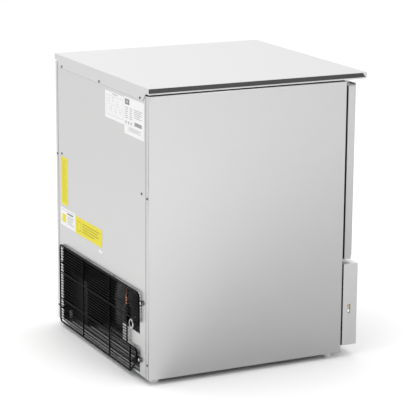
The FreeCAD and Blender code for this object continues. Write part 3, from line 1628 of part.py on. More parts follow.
def make_condenser():
    low_x = coil_x - coil_length / 2
    low_y = front + coil_front
    low_z = floor_top + coil_lift
    pitch = combine(coil_length, "/", combine(fin_count, "-", 1))
    rows = 6
    row_z = [low_z + coil_height * (i + 0.5) / rows for i in range(rows)]
    row_y = (low_y + coil_thick * 0.28, low_y + coil_thick * 0.72)
    fins = [
        block(
            f"fin_{i}",
            (low_x + pitch * i - fin_thick / 2, low_x + pitch * i + fin_thick / 2),
            (low_y, low_y + coil_thick),
            (low_z, low_z + coil_height),
        )
        for i in range(int(fin_count.value))
    ]
    ends = [
        block(
            "coil_end_" + suffix,
            (x, x + 1.5),
            (low_y, low_y + coil_thick),
            (low_z - coil_lift, low_z + coil_height + 2),
        )
        for suffix, x in (("left", low_x - 8), ("right", low_x + coil_length + 6.5))
    ]
    reach = coil_length + 24
    bores = [
        rod(f"coil_bore_{j}_{i}", (low_x - 12, y, z), "x", tube_radius, reach)
        for j, y in enumerate(row_y)
        for i, z in enumerate(row_z)
    ]
    node("condenser_fins", cut("condenser_fin_pack", group("fin_blanks", *fins, *ends), *bores))

    tubes = []
    for j, y in enumerate(row_y):
        for i, z in enumerate(row_z):
            tubes.append(rod(f"coil_tube_{j}_{i}", (low_x - 12, y, z), "x", tube_radius, reach))
        for i in range(rows - 1):
            start_x = low_x + coil_length + 12 if (i + j) % 2 else low_x - 12
            out = 16 if (i + j) % 2 else -16
            tubes.append(
                pipe(
                    f"coil_bend_{j}_{i}",
                    [
                        (start_x, y, row_z[i]),
                        (start_x + out, y, row_z[i]),
                        (start_x + out, y, row_z[i + 1]),
                        (start_x, y, row_z[i + 1]),
                    ],
                    tube_radius,
                    10,
                )
            )
    node("condenser_tubes", fuse("condenser_coil", *tubes))

    shroud_y = low_y + coil_thick + 2
    fan_z = low_z + coil_height / 2
    plate = block(
        "shroud_plate",
        (low_x - 10, low_x + coil_length + 10),
        (shroud_y, shroud_y + 2),
        (low_z - coil_lift, low_z + coil_height + 2),
    )
    collar = rod("shroud_collar", (coil_x, shroud_y, fan_z), "y", fan_radius + fan_gap + 2, 30)
    mouth = rod("shroud_mouth", (coil_x, shroud_y - 1, fan_z), "y", fan_radius + fan_gap, 40)
    blank = fuse("shroud_blank", plate, collar)
    ring = cut("shroud_open", blank, mouth)
    motor_front = shroud_y + 44
    arms = [
        block(
            f"shroud_arm_{i}",
            (coil_x - fan_radius - fan_gap - 6, coil_x + fan_radius + fan_gap + 6),
            (motor_front - 4, motor_front),
            (fan_z + dz - 3, fan_z + dz + 3),
        )
        for i, dz in enumerate((-22, 22))
    ]
    posts = [
        block(
            f"shroud_post_{i}",
            (coil_x + sx * (fan_radius + fan_gap + 1) - 4, coil_x + sx * (fan_radius + fan_gap + 1) + 4),
            (shroud_y, motor_front),
            (fan_z + dz - 3, fan_z + dz + 3),
        )
        for i, (sx, dz) in enumerate(((-1, -22), (-1, 22), (1, -22), (1, 22)))
    ]

    def cleared(name, items, start, radius):
        """Cuts a round space on the fan's axis out of each item."""
        return [
            cut(f"{name}_{i}", item, rod(f"{name}_tool_{i}", (coil_x, start, fan_z), "y", radius, 60))
            for i, item in enumerate(items)
        ]

    posts = cleared("shroud_post_clear", posts, shroud_y - 1, fan_radius + fan_gap)
    trimmed_arms = cleared("shroud_arm_trim", arms, motor_front - 6, motor_radius * 0.8)
    node("fan_shroud", fuse("fan_shroud_solid", ring, *trimmed_arms, *posts))

    can = rod("motor_can", (coil_x, motor_front, fan_z), "y", motor_radius, 48)
    tail = rod("motor_tail", (coil_x, motor_front + 48, fan_z), "y", motor_radius * 0.5, 8)
    snout = rod("motor_snout", (coil_x, motor_front - 8, fan_z), "y", motor_radius * 0.4, 8)
    bore = rod("motor_bore", (coil_x, motor_front - 9, fan_z), "y", shaft_radius + run, 40)
    node("fan_motor", cut("fan_motor_bored", fuse("fan_motor_blank", can, tail, snout), bore))

    hub_y = shroud_y + 8
    fan = new_body("FanBody")
    hub = sketch(fan, "HubCircle", "XZ_Plane", hub_y + 22, circles=[(0, 0, motor_radius * 0.9)])
    pad(fan, "Hub", hub, 22)
    outline = [
        (-9, motor_radius * 0.8),
        (-26, fan_radius * 0.86),
        (-14, fan_radius * 0.96),
        (22, fan_radius * 0.93),
        (24, fan_radius * 0.7),
        (10, motor_radius * 0.8),
    ]
    blade = sketch(fan, "BladeOutline", "XZ_Plane", hub_y + 12, [outline])
    first = pad(fan, "Blade", blade, 2.4)
    doc.recompute()
    ring_of = fan.newObject("PartDesign::PolarPattern", "Blades")
    ring_of.Originals = [first]
    ring_of.Axis = (origin_part(fan, "Y_Axis"), [""])
    ring_of.Angle = 360
    ring_of.Occurrences = 5
    fan.Tip = ring_of
    shaft = sketch(fan, "ShaftCircle", "XZ_Plane", motor_front + 26, circles=[(0, 0, shaft_radius)])
    pad(fan, "Shaft", shaft, motor_front + 26 - hub_y - 10)
    place(fan, coil_x, 0, fan_z)
    node("fan_blade", fan)


def make_lines():
    """Filter drier, and the copper lines between compressor, condenser and evaporator."""
    x, y = compressor_x, rear_face - compressor_back
    base = floor_top + grommet_height
    can_x, can_y = drier_x, rear_face - drier_back
    can = rod("drier_can", (can_x, can_y, drier_z), "z", 11, drier_length)
    low = taper("drier_low", (can_x, can_y, drier_z - 12), "z", 4, 11, 12)
    high = taper("drier_high", (can_x, can_y, drier_z + drier_length), "z", 11, 4, 12)
    node("filter_drier", fuse("filter_drier_solid", can, low, high))

    pig = copper_radius
    suction = pipe(
        "suction_line",
        [
            (x - shell_radius * 0.94 - 14, y, base + shell_height * 0.36),
            (x - shell_radius - 60, y, base + shell_height * 0.36),
            (x - shell_radius - 60, y + 20, room_top - 40),
            (-176, shell_back - 34, room_top - 34),
            (-176, shell_back - 34, room_top - 7),
        ],
        pig,
        14,
    )
    visible = pipe(
        "process_line",
        [
            (can_x, can_y, drier_z + drier_length + 12),
            (can_x, can_y, drier_z + drier_length + 40),
            (can_x - 42, can_y + 14, room_top - 48),
            (can_x - 42, can_y + 14, room_top - lining_thick),
        ],
        pig,
        14,
    )
    liquid = pipe(
        "liquid_line",
        [
            (can_x, can_y, drier_z - 12),
            (can_x, can_y, drier_z - 34),
            (can_x, front + coil_front + coil_thick * 0.28, drier_z - 34),
            (coil_x - coil_length / 2 - 34, front + coil_front + coil_thick * 0.28, drier_z - 34),
        ],
        pig,
        14,
    )
    discharge = pipe(
        "discharge_line",
        [
            (x - shell_radius * 0.5, y + shell_radius * 0.3, base + shell_height + 14),
            (x - shell_radius * 0.5, y + shell_radius * 0.3, room_top - 22),
            (x - 120, y + shell_radius * 0.3, room_top - 22),
            (x - 120, front + coil_front + coil_thick + 40, room_top - 26),
            (x - 120, front + coil_front + coil_thick + 40, 180),
        ],
        pig,
        12,
    )
    node("copper_lines", group("copper_line_set", suction, visible, liquid, discharge))

    box_x = (half - control_inset - control_width, half - control_inset)
    box_y = (rear_face - control_back - control_length, rear_face - control_back)
    box_z = (floor_top + bead_height, floor_top + bead_height + control_height)
    shell = block("control_box_shell", box_x, box_y, box_z)
    lid = block(
        "control_box_lid",
        (box_x[0] - 2, box_x[1] + 2),
        (box_y[0] - 2, box_y[1] + 2),
        (box_z[1], box_z[1] + 5),
    )
    node("control_box", fuse("control_box_solid", shell, lid))


# ---------------------------------------------------------------- freezing unit in the bin
def make_freezing_unit():
    plate_back = bin_back - unit_back
    face = plate_back - cell_depth
    wide, low, high = plate_half, ice_bottom, ice_top
    pitch_x = (wide * 2 - cell_wall) / cells_across
    pitch_z = (high - low - cell_wall) / cells_high
    walls = [block("cell_back", (-wide, wide), (plate_back - cell_wall, plate_back), (low, high))]
    deep = (face, plate_back - cell_wall)
    for i in range(int(cells_across.value) + 1):
        x = -wide + pitch_x * i
        walls.append(block(f"cell_upright_{i}", (x, x + cell_wall), deep, (low, high)))
    for i in range(int(cells_high.value) + 1):
        z = low + pitch_z * i
        walls.append(block(f"cell_shelf_{i}", (-wide, wide), deep, (z, z + cell_wall)))
    node("evaporator", fuse("evaporator_grid", *walls))

    r = tube_radius
    serpentine_y = plate_back + r
    step = (high - low) / 5
    z0 = low + step * 0.5
    points = [(wide + 22, bin_back, z0), (wide + 22, serpentine_y, z0)]
    for i in range(5):
        z = z0 + step * i
        near_x, far_x = (wide - 16, -(wide - 16)) if i % 2 == 0 else (-(wide - 16), wide - 16)
        if i > 0:
            points.append((near_x, serpentine_y, z))
        points.append((far_x, serpentine_y, z))
    points.append((-(wide - 16), bin_back - 3, z0 + step * 4))
    coil = pipe("evaporator_serpentine", points, r, 12)
    node("evaporator_coil", coil)

    head_z = high + 16
    feed_x, feed_y = wide + 16, face + 10
    tube = rod("distributor_tube", (-wide - 8, feed_y, head_z), "x", 9, feed_x + wide + 17)
    feed = rod("distributor_feed", (feed_x, feed_y, head_z - 14), "z", 8, 14)
    drips = [
        rod(f"drip_hole_{i}", (-wide + pitch_x * (i + 0.5), feed_y, head_z - 12), "z", 1.2, 8)
        for i in range(int(cells_across.value))
    ]
    node("water_distributor", cut("distributor_drilled", fuse("distributor_blank", tube, feed), *drips))

    t = trough_wall
    trough_x = (-(wide + 22), wide + 84)
    trough_y = (face - 6, plate_back + 44)
    trough_z = (low - 14 - trough_depth, low - 14)
    outer = block("trough_outer", trough_x, trough_y, trough_z)
    inner = block(
        "trough_inner",
        (trough_x[0] + t, trough_x[1] - t),
        (trough_y[0] + t, trough_y[1] - t),
        (trough_z[0] + t, trough_z[1] + 1),
    )
    node("water_trough", cut("water_trough_moulded", outer, inner))

    arms = []
    for sign, suffix in ((-1, "left"), (1, "right")):
        web = block(
            "unit_web_" + suffix,
            side_span(sign, wide + 2, wide + 4),
            (face - curtain_gap - 16, bin_back),
            (low - 10, bin_ceiling - 6),
        )
        slot = rod(
            "unit_pivot_" + suffix,
            ((wide if sign > 0 else -wide - 6), face - curtain_gap, curtain_z),
            "x",
            3 + run,
            6,
        )
        pass_tube = block(
            "unit_pass_" + suffix,
            side_span(sign, wide, wide + 6),
            (face - 1, face + 21),
            (head_z - 10, head_z + 10),
        )
        pass_coil = block(
            "unit_coil_pass_" + suffix,
            side_span(sign, wide, wide + 6),
            (plate_back, plate_back + r * 2 + 1),
            (z0 - r - 1, z0 + r + 1),
        )
        arms.append(cut("unit_arm_" + suffix, web, slot, pass_tube, pass_coil))
    top_tie = block(
        "unit_tie",
        (-(wide + 2), wide + 2),
        (bin_back - 2, bin_back),
        (low - 10, bin_ceiling - 6),
    )
    exit_z = z0 + step * 4
    pass_out = block(
        "unit_tie_pass",
        (-(wide - 2), -(wide - 30)),
        (bin_back - 4, bin_back + 2),
        (exit_z - 14, exit_z + 14),
    )
    tie = cut("unit_tie_cut", top_tie, pass_out)
    hangers = [
        block(
            f"trough_hanger_{i}",
            (x, x + 14),
            (trough_y[1], bin_back),
            (trough_z[1] - 30, low - 10),
        )
        for i, x in enumerate((-wide, wide - 14))
    ]
    node("unit_frame", fuse("unit_frame_solid", *arms, tie, *hangers))

    sheet_y = face - curtain_gap
    flap = block(
        "curtain_sheet",
        (-(wide - 1), wide - 1),
        (sheet_y - curtain_thick / 2, sheet_y + curtain_thick / 2),
        (low - 8, curtain_z),
    )
    barrel = rod("curtain_barrel", (-(wide + 5), sheet_y, curtain_z), "x", 3, wide * 2 + 10)
    node("water_curtain", fuse("water_curtain_solid", flap, barrel))

    pump_x, pump_y = wide + 56, feed_y + 16
    well_z = trough_z[0] + t + 3
    volute = rod("pump_volute", (pump_x, pump_y, well_z), "z", 20, 22)
    column = rod("pump_column", (pump_x, pump_y, well_z + 22), "z", 11, 42)
    motor = rod("pump_motor", (pump_x, pump_y, well_z + 64), "z", pump_radius, 46)
    outlet = rod("pump_outlet", (pump_x - 22, feed_y, well_z + 8), "x", 6, 14)
    cavity = rod("pump_cavity", (pump_x, pump_y, well_z + 2), "z", 16, 14)
    intake = rod("pump_intake", (pump_x, pump_y, well_z - 1), "z", 7, 4)
    bore = rod("pump_bore", (pump_x, pump_y, well_z + 15), "z", shaft_radius + run, 76)
    body = fuse("pump_blank", volute, column, motor, outlet)
    tools = fuse("pump_tools", cavity, intake, bore)
    node("water_pump", cut("water_pump_bored", body, tools))

    hub = rod("impeller_hub", (pump_x, pump_y, well_z + 4), "z", 5, 10)
    shaft = rod("impeller_shaft", (pump_x, pump_y, well_z + 10), "z", shaft_radius, 76)
    vane_z = (well_z + 4, well_z + 12)
    vanes = [
        block(name, (pump_x - long, pump_x + long), (pump_y - wide_y, pump_y + wide_y), vane_z)
        for name, long, wide_y in (("impeller_vane_a", 13, 1), ("impeller_vane_b", 1, 13))
    ]
    node("pump_impeller", fuse("pump_impeller_solid", hub, shaft, *vanes))

    hose = pipe(
        "pump_hose",
        [
            (pump_x - 22, feed_y, well_z + 8),
            (feed_x, feed_y, well_z + 8),
            (feed_x, feed_y, head_z - 14),
        ],
        6,
        10,
    )
    return hose


curtain_z = ice_top + 6


# ---------------------------------------------------------------- labels on the rear
def make_labels():
    thick = 0.3

    def label(name, x, z):
        return block(name, x, (rear_face, rear_face + thick), z)

    low = room_top + label_lift
    labels = [
        label("label_strip", (half - 83, half - 34), (low + 63, low + 203)),
        label("label_notice", (-12, 179), (low, low + 50)),
        label("label_warning", (half - 141, half - 30), (low + 1, low + 54)),
        label("label_rating", (26 - half, 153 - half), (height - 142, height - 43)),
        label("label_circuit", (154 - half, 281 - half), (height - 120, height - 46)),
        label("label_spot", (-14, 11), (low - 16, low - 9)),
    ]
    node("rear_labels", group("rear_label_set", *labels))


# ---------------------------------------------------------------- build, check and write
def build():
    seal = make_worktop()
    make_side_panel(-1, "left_side_panel")
    make_side_panel(1, "right_side_panel")
    make_rear_panel()
    make_insulated_box()
    linings = make_base()
    node("foam_linings", group("foam_lining_set", seal, *linings))
    make_feet()
    make_door()
    make_hinges()
    make_lower_panel()
    make_controls()
    make_guard()
    make_fasteners()
    drain_hose = make_connections()
    make_compressor()
    make_condenser()
    make_lines()
    water_hose = make_freezing_unit()
    node("water_hoses", group("water_hose_set", drain_hose, water_hose))
    make_labels()
    doc.recompute()


def check():
    for item in doc.Objects:
        if "Invalid" in item.State or "Error" in item.State:
            raise ValueError(f"{item.Name} failed: {item.State}")
    for item in nodes:
        shape = item.Shape
        if shape.isNull() or not shape.Solids or not shape.isValid():
            raise ValueError(f"{item.Label} has no valid shape")
        if any(solid.Volume <= 0 for solid in shape.Solids):
            raise ValueError(f"{item.Label} has a solid with no volume")
    if len({item.Label for item in nodes}) != len(nodes):
        raise ValueError("two pieces share a name")


def write():
    os.makedirs("parts", exist_ok=True)
    for item in nodes:
        item.Shape.exportStep(os.path.join("parts", item.Label + ".step"))
    print(len(nodes), "pieces written")


build()
check()
write()
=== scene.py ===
import math

import bmesh
import bpy
from mathutils import Matrix, Vector


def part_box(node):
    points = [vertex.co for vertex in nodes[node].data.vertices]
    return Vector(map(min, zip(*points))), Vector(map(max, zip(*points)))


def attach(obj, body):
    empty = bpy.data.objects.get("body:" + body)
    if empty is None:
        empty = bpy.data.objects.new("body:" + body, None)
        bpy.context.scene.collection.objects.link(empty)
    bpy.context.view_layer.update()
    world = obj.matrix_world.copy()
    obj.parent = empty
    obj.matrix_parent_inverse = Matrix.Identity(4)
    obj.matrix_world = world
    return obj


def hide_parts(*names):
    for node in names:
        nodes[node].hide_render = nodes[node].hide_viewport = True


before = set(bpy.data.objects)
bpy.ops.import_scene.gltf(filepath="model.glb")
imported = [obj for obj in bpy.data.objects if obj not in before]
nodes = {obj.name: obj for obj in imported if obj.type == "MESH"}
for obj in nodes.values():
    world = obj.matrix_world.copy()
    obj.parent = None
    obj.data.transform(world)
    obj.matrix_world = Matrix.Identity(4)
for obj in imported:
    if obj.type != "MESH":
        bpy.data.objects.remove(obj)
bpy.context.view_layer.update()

MM = 0.001


# ------------------------------------------------------------------ material vocabulary
class Recipe:
    """A material under construction: its node tree, its shader and a few short ways to wire it."""

    def __init__(self, name, **sockets):
        self.material = bpy.data.materials.new(name)
        self.material.use_nodes = True
        self.tree = self.material.node_tree
        self.shader = self.tree.nodes["Principled BSDF"]
        self.coordinates = self.tree.nodes.new("ShaderNodeTexCoord").outputs["Object"]
        for socket, value in sockets.items():
            self.shader.inputs[socket.replace("_", " ")].default_value = value

    def node(self, kind, **properties):
        item = self.tree.nodes.new(kind)
        for key, value in properties.items():
            setattr(item, key, value)
        return item

    def link(self, output, target):
        self.tree.links.new(output, target)

    def stretched(self, scale):
        """Object coordinates in metres, multiplied along each axis."""
        mapping = self.node("ShaderNodeMapping")
        self.link(self.coordinates, mapping.inputs["Vector"])
        mapping.inputs["Scale"].default_value = scale
        return mapping.outputs["Vector"]

    def noise(self, scale, detail=3.0, roughness=0.55, distortion=0.0):
        item = self.node("ShaderNodeTexNoise")
        self.link(self.stretched(scale), item.inputs["Vector"])
        item.inputs["Scale"].default_value = 1.0
        item.inputs["Detail"].default_value = detail
        item.inputs["Roughness"].default_value = roughness
        item.inputs["Distortion"].default_value = distortion
        return item.outputs["Fac"]

    def cells(self, scale):
        item = self.node("ShaderNodeTexVoronoi", feature="F1")
        self.link(self.stretched(scale), item.inputs["Vector"])
        item.inputs["Scale"].default_value = 1.0
        return item

    def map_range(self, value, low, high, start=0.0, end=1.0):
        item = self.node("ShaderNodeMapRange")
        self.link(value, item.inputs["Value"])
        item.inputs["From Min"].default_value = start
        item.inputs["From Max"].default_value = end
        item.inputs["To Min"].default_value = low
        item.inputs["To Max"].default_value = high
        return item.outputs["Result"]

    def maths(self, operation, first, second):
        item = self.node("ShaderNodeMath", operation=operation)
        for socket, value in zip(item.inputs, (first, second)):
            if isinstance(value, (int, float)):
                socket.default_value = value
            else:
                self.link(value, socket)
        return item.outputs["Value"]

    def blend(self, factor, first, second):
        """Mixes two colours, each a tuple or a socket."""
        item = self.node("ShaderNodeMix", data_type="RGBA")
        self.link(factor, item.inputs["Factor"])
        for name, colour in (("A", first), ("B", second)):
            socket = [s for s in item.inputs if s.name == name and s.type == "RGBA"][0]
            if isinstance(colour, tuple):
                socket.default_value = (*colour, 1.0)
            else:
                self.link(colour, socket)
        return [s for s in item.outputs if s.type == "RGBA"][0]

    def colour(self, socket):
        self.link(socket, self.shader.inputs["Base Color"])

    def gloss(self, socket):
        self.link(socket, self.shader.inputs["Roughness"])

    def bump(self, height, strength, distance):
        item = self.node("ShaderNodeBump")
        item.inputs["Strength"].default_value = strength
        item.inputs["Distance"].default_value = distance
        self.link(height, item.inputs["Height"])
        self.link(item.outputs["Normal"], self.shader.inputs["Normal"])


def shade(colour, factor):
    return tuple(min(1.0, c * factor) for c in colour)


def surface(name, colour, grain, variation=0.06, roughness=0.5, spread=0.08, strength=0.2,
            distance=0.0002, mottle=9.0, **sockets):
    """Fine grain for bump and gloss, with a slow mottle in the colour."""
    made = Recipe(name, **sockets)
    fine = made.noise(grain, detail=4.0)
    slow = made.noise((mottle, mottle, mottle), detail=3.0)
    mixed = made.maths("ADD", made.maths("MULTIPLY", fine, 0.5), made.maths("MULTIPLY", slow, 0.5))
    tint = made.map_range(mixed, 0.0, 1.0, 0.3, 0.7)
    made.colour(made.blend(tint, shade(colour, 1 - variation), shade(colour, 1 + variation)))
    made.gloss(made.map_range(mixed, roughness - spread, roughness + spread, 0.3, 0.7))
    made.bump(fine, strength, distance)
    return made


def brushed(name, colour, along, roughness=0.34):
    """Sheet with fine parallel brushing along one axis."""
    across_lines, along_lines = 900.0, 6.0
    grain = [across_lines, across_lines, across_lines]
    grain["xyz".index(along)] = along_lines
    return surface(
        name, colour, tuple(grain), variation=0.022, roughness=roughness, spread=0.035,
        strength=0.06, distance=0.00005, mottle=2.2, Metallic=1.0,
    ).material


def plastic(name, colour, roughness=0.45, grain=700.0, **sockets):
    return surface(
        name, colour, (grain, grain, grain), variation=0.02, roughness=roughness, spread=0.03,
        strength=0.15, distance=0.0001, mottle=40.0, **sockets,
    ).material


def zinc_sheet(name, colour, roughness=0.4):
    """Zinc-coated sheet: crystals of slightly different grey and gloss."""
    made = Recipe(name, Metallic=0.9)
    crystals = made.cells((95.0, 95.0, 95.0))
    split = made.node("ShaderNodeSeparateColor")
    made.link(crystals.outputs["Color"], split.inputs["Color"])
    shine = split.outputs["Red"]
    fine = made.noise((420.0, 420.0, 420.0))
    made.colour(made.blend(shine, shade(colour, 0.9), shade(colour, 1.06)))
    made.gloss(made.map_range(shine, roughness - 0.07, roughness + 0.1))
    made.bump(fine, 0.12, 0.00008)
    return made.material


def copper(name):
    made = Recipe(name, Metallic=1.0)
    stain = made.noise((38.0, 38.0, 60.0), detail=5.0, distortion=0.6)
    fine = made.noise((600.0, 600.0, 600.0))
    spots = made.map_range(stain, 0.0, 1.0, 0.42, 0.68)
    made.colour(made.blend(spots, (0.80, 0.40, 0.25), (0.42, 0.19, 0.12)))
    made.gloss(made.map_range(stain, 0.22, 0.48, 0.35, 0.7))
    made.bump(fine, 0.1, 0.00006)
    return made.material


def foam(name, colour, pore=260.0):
    made = Recipe(name, Roughness=0.95)
    pores = made.cells((pore, pore, pore))
    depth = pores.outputs["Distance"]
    # the pores are painted darker towards their deepest point: painted shade in the hollows
    made.colour(made.blend(depth, shade(colour, 0.45), shade(colour, 1.15)))
    made.bump(depth, 0.7, 0.0008)
    return made.material


def dusty_paint(name, colour, roughness=0.38):
    """Black enamel with a film of dust on faces that look up."""
    made = Recipe(name)
    fine = made.noise((500.0, 500.0, 500.0))
    patches = made.noise((24.0, 24.0, 24.0), detail=6.0)
    up = made.node("ShaderNodeSeparateXYZ")
    geometry = made.node("ShaderNodeNewGeometry")
    made.link(geometry.outputs["Normal"], up.inputs["Vector"])
    lying = made.map_range(up.outputs["Z"], 0.0, 0.35, 0.2, 1.0)
    dust = made.maths("MULTIPLY", lying, patches)
    made.colour(made.blend(dust, colour, (0.22, 0.21, 0.2)))
    made.gloss(made.map_range(patches, roughness - 0.06, roughness + 0.14, 0.3, 0.7))
    made.bump(fine, 0.18, 0.00012)
    return made.material


def label_film(name, ground):
    return surface(
        name, ground, (300.0, 300.0, 300.0), variation=0.015, roughness=0.5, spread=0.04,
        strength=0.05, distance=0.00005, Specular_IOR_Level=0.15,
    ).material


STEEL = (0.58, 0.58, 0.58)
looks = {
    "worktop": brushed("worktop_steel", (0.62, 0.62, 0.62), "x", roughness=0.38),
    "side": brushed("side_steel", STEEL, "y", roughness=0.34),
    "rear": brushed("rear_steel", (0.6, 0.6, 0.598), "z", roughness=0.42),
    "door": brushed("door_steel", STEEL, "z", roughness=0.3),
    "profile": brushed("profile_steel", (0.55, 0.55, 0.555), "z", roughness=0.3),
    "lower": brushed("lower_steel", (0.7, 0.7, 0.7), "x", roughness=0.36),
    "unit": brushed("unit_steel", (0.55, 0.55, 0.56), "z", roughness=0.34),
    "zinc": zinc_sheet("zinc_sheet", (0.5, 0.51, 0.52)),
    # the base pan is the same zinc sheet made darker: painted shade inside the machine room
    "pan": zinc_sheet("pan_zinc_painted_shade", (0.3, 0.3, 0.31), roughness=0.5),
    "strip": plastic("edge_strip_black", (0.035, 0.035, 0.037), 0.4),
    "black": plastic("moulded_black", (0.016, 0.016, 0.017), 0.5, Specular_IOR_Level=0.3),
    "board": surface(
        "pale_board", (0.62, 0.62, 0.61), (260.0, 260.0, 260.0), variation=0.1, roughness=0.75,
        strength=0.3, distance=0.0003,
    ).material,
    # black foam for the linings and the panel seal; in the machine room its black stands for the
    # room's shade: painted shade
    "dark_foam": foam("black_foam_and_room_shade", (0.014, 0.014, 0.015)),
    "pale_foam": foam("insulating_foam", (0.78, 0.66, 0.42), 400.0),
    "liner": plastic("liner_white", (0.86, 0.87, 0.87), 0.3, 260.0),
    "rubber": plastic("gasket_rubber", (0.014, 0.014, 0.015), 0.6, 900.0),
    # black sealant for the seam beads; its black is a painted shadow line along the gaps
    "sealant_shadow": plastic("seam_shadow_sealant", (0.02, 0.02, 0.021), 0.7, 700.0),
    "foot": plastic("foot_plastic", (0.74, 0.74, 0.72), 0.5, 500.0),
    "nylon": plastic("nylon_white", (0.88, 0.88, 0.85), 0.42, 500.0),
    "gloss_black": plastic("rocker_black", (0.02, 0.02, 0.022), 0.2, 300.0),
    "green": plastic("button_green", (0.03, 0.33, 0.12), 0.3, 300.0),
    "amber": plastic("lamp_amber", (0.9, 0.42, 0.03), 0.15, 200.0, Transmission_Weight=0.5),
    "wire": plastic("guard_black", (0.004, 0.004, 0.004), 0.5, 800.0, Specular_IOR_Level=0.06),
    # the screws' metal is made far darker than zinc so that the heads read as dark dots: painted shade
    # and painted dark reflection
    "screw": surface(
        "screw_zinc_painted_shade", (0.12, 0.12, 0.12), (500.0, 500.0, 500.0), variation=0.08, roughness=0.3,
        Metallic=1.0,
    ).material,
    "brass": surface(
        "brass_turned", (0.86, 0.58, 0.2), (400.0, 400.0, 400.0), variation=0.1, roughness=0.28,
        Metallic=1.0,
    ).material,
    "enamel": dusty_paint("black_enamel", (0.01, 0.01, 0.011)),
    "fins": surface(
        "fin_aluminium", (0.3, 0.3, 0.31), (60.0, 60.0, 400.0), variation=0.1, roughness=0.38,
        Metallic=1.0,
    ).material,
    "copper": copper("drawn_copper"),
    "tinned": surface(
        "tinned_grid", (0.74, 0.73, 0.7), (240.0, 240.0, 240.0), variation=0.09, roughness=0.3,
        Metallic=1.0,
    ).material,
    "grey": plastic("moulded_grey", (0.46, 0.47, 0.48), 0.48, 500.0),
    "light_grey": plastic("cap_grey", (0.5, 0.5, 0.5), 0.42, 500.0),
    "clear": plastic(
        "curtain_clear", (0.84, 0.88, 0.9), 0.2, 200.0, Transmission_Weight=0.75, IOR=1.46
    ),
    "yellow": label_film("yellow_film", (0.80, 0.70, 0.035)),
    "white": label_film("white_film", (0.84, 0.84, 0.84)),
    "ink_and_shade": label_film("ink_dark_and_recess_shade", (0.05, 0.05, 0.05)),
    "grey_ink": label_film("ink_grey", (0.22, 0.22, 0.22)),
    "faint_ink": label_film("ink_faint", (0.5, 0.5, 0.51)),
    "olive_ink": label_film("ink_olive", (0.5, 0.44, 0.03)),
}

node_looks = {
    "worktop": "worktop", "left_side_panel": "side", "right_side_panel": "side",
    "rear_panel": "rear", "door_skin": "door", "handle_profile": "profile",
    "lower_front_panel": "lower", "unit_frame": "unit", "base_pan": "pan",
    "cabinet_frame": "zinc", "connection_plate": "rear", "panel_brackets": "zinc",
    "upper_hinge": "zinc", "lower_hinge": "zinc", "edge_strips": "strip",
    "door_end_caps": "light_grey", "control_bezel": "black", "terminal_cover": "black",
    "control_box": "black", "cable_gland": "black", "fan_blade": "black",
    # the machine room's foam linings are black as painted shade
    "drain_outlet": "black", "worktop_board": "board", "foam_linings": "dark_foam",
    "insulation_slabs": "pale_foam", "door_insulation": "pale_foam", "inner_liner": "liner",
    "door_liner": "liner", "water_trough": "liner", "door_gasket": "rubber",
    "compressor_grommets": "rubber", "front_left_foot": "foot", "front_right_foot": "foot",
    "rear_left_foot": "foot", "rear_right_foot": "foot", "hinge_bushes": "nylon",
    "nylon_bushes": "nylon", "pump_impeller": "nylon", "rocker_switch": "gloss_black",
    "clean_button": "green", "indicator_lamps": "amber", "rear_guard": "wire",
    "panel_screws": "screw", "brass_screws": "brass", "compressor": "enamel",
    "fan_shroud": "enamel", "fan_motor": "enamel", "condenser_fins": "fins",
    "condenser_tubes": "enamel", "copper_lines": "copper", "filter_drier": "enamel",
    "evaporator_coil": "copper", "evaporator": "tinned", "water_distributor": "grey",
    "water_pump": "grey", "water_inlet_valve": "black", "water_curtain": "clear",
    "water_hoses": "grey", "rear_labels": "white", "louvre_grille": "black",
}
for node_name, item in nodes.items():
    item.data.materials.clear()
    item.data.materials.append(looks[node_looks[node_name]])


# ------------------------------------------------------------------ softened edges of CAD pieces
def soften(width_mm, *node_names, segments=2):
    """Joins each mesh's split corners and rolls its sharp edges over."""
    for node_name in node_names:
        item = nodes[node_name]
        weld = item.modifiers.new("weld", "WELD")
        weld.merge_threshold = 0.02 * MM
        flat = item.modifiers.new("flat_faces", "DECIMATE")
        flat.decimate_type = "DISSOLVE"
        flat.angle_limit = math.radians(0.5)
        edge = item.modifiers.new("rolled_edges", "BEVEL")
        edge.width = width_mm * MM
        edge.segments = segments
        edge.limit_method = "ANGLE"
        edge.angle_limit = math.radians(40)
        edge.harden_normals = True


soften(0.35, "worktop", "rear_panel", "handle_profile", "door_skin", "lower_front_panel")
soften(0.3, "cabinet_frame", "connection_plate", "panel_brackets", "door_end_caps", "unit_frame")
soften(0.6, "edge_strips", "worktop_board", "upper_hinge", "lower_hinge", "louvre_grille")
soften(0.8, "control_bezel", "rocker_switch", "water_trough", "fan_motor", "water_pump")
soften(1.2, "control_box", "terminal_cover", "drain_outlet", "water_inlet_valve")
soften(0.5, "base_pan", "fan_shroud", "clean_button", "brass_screws")


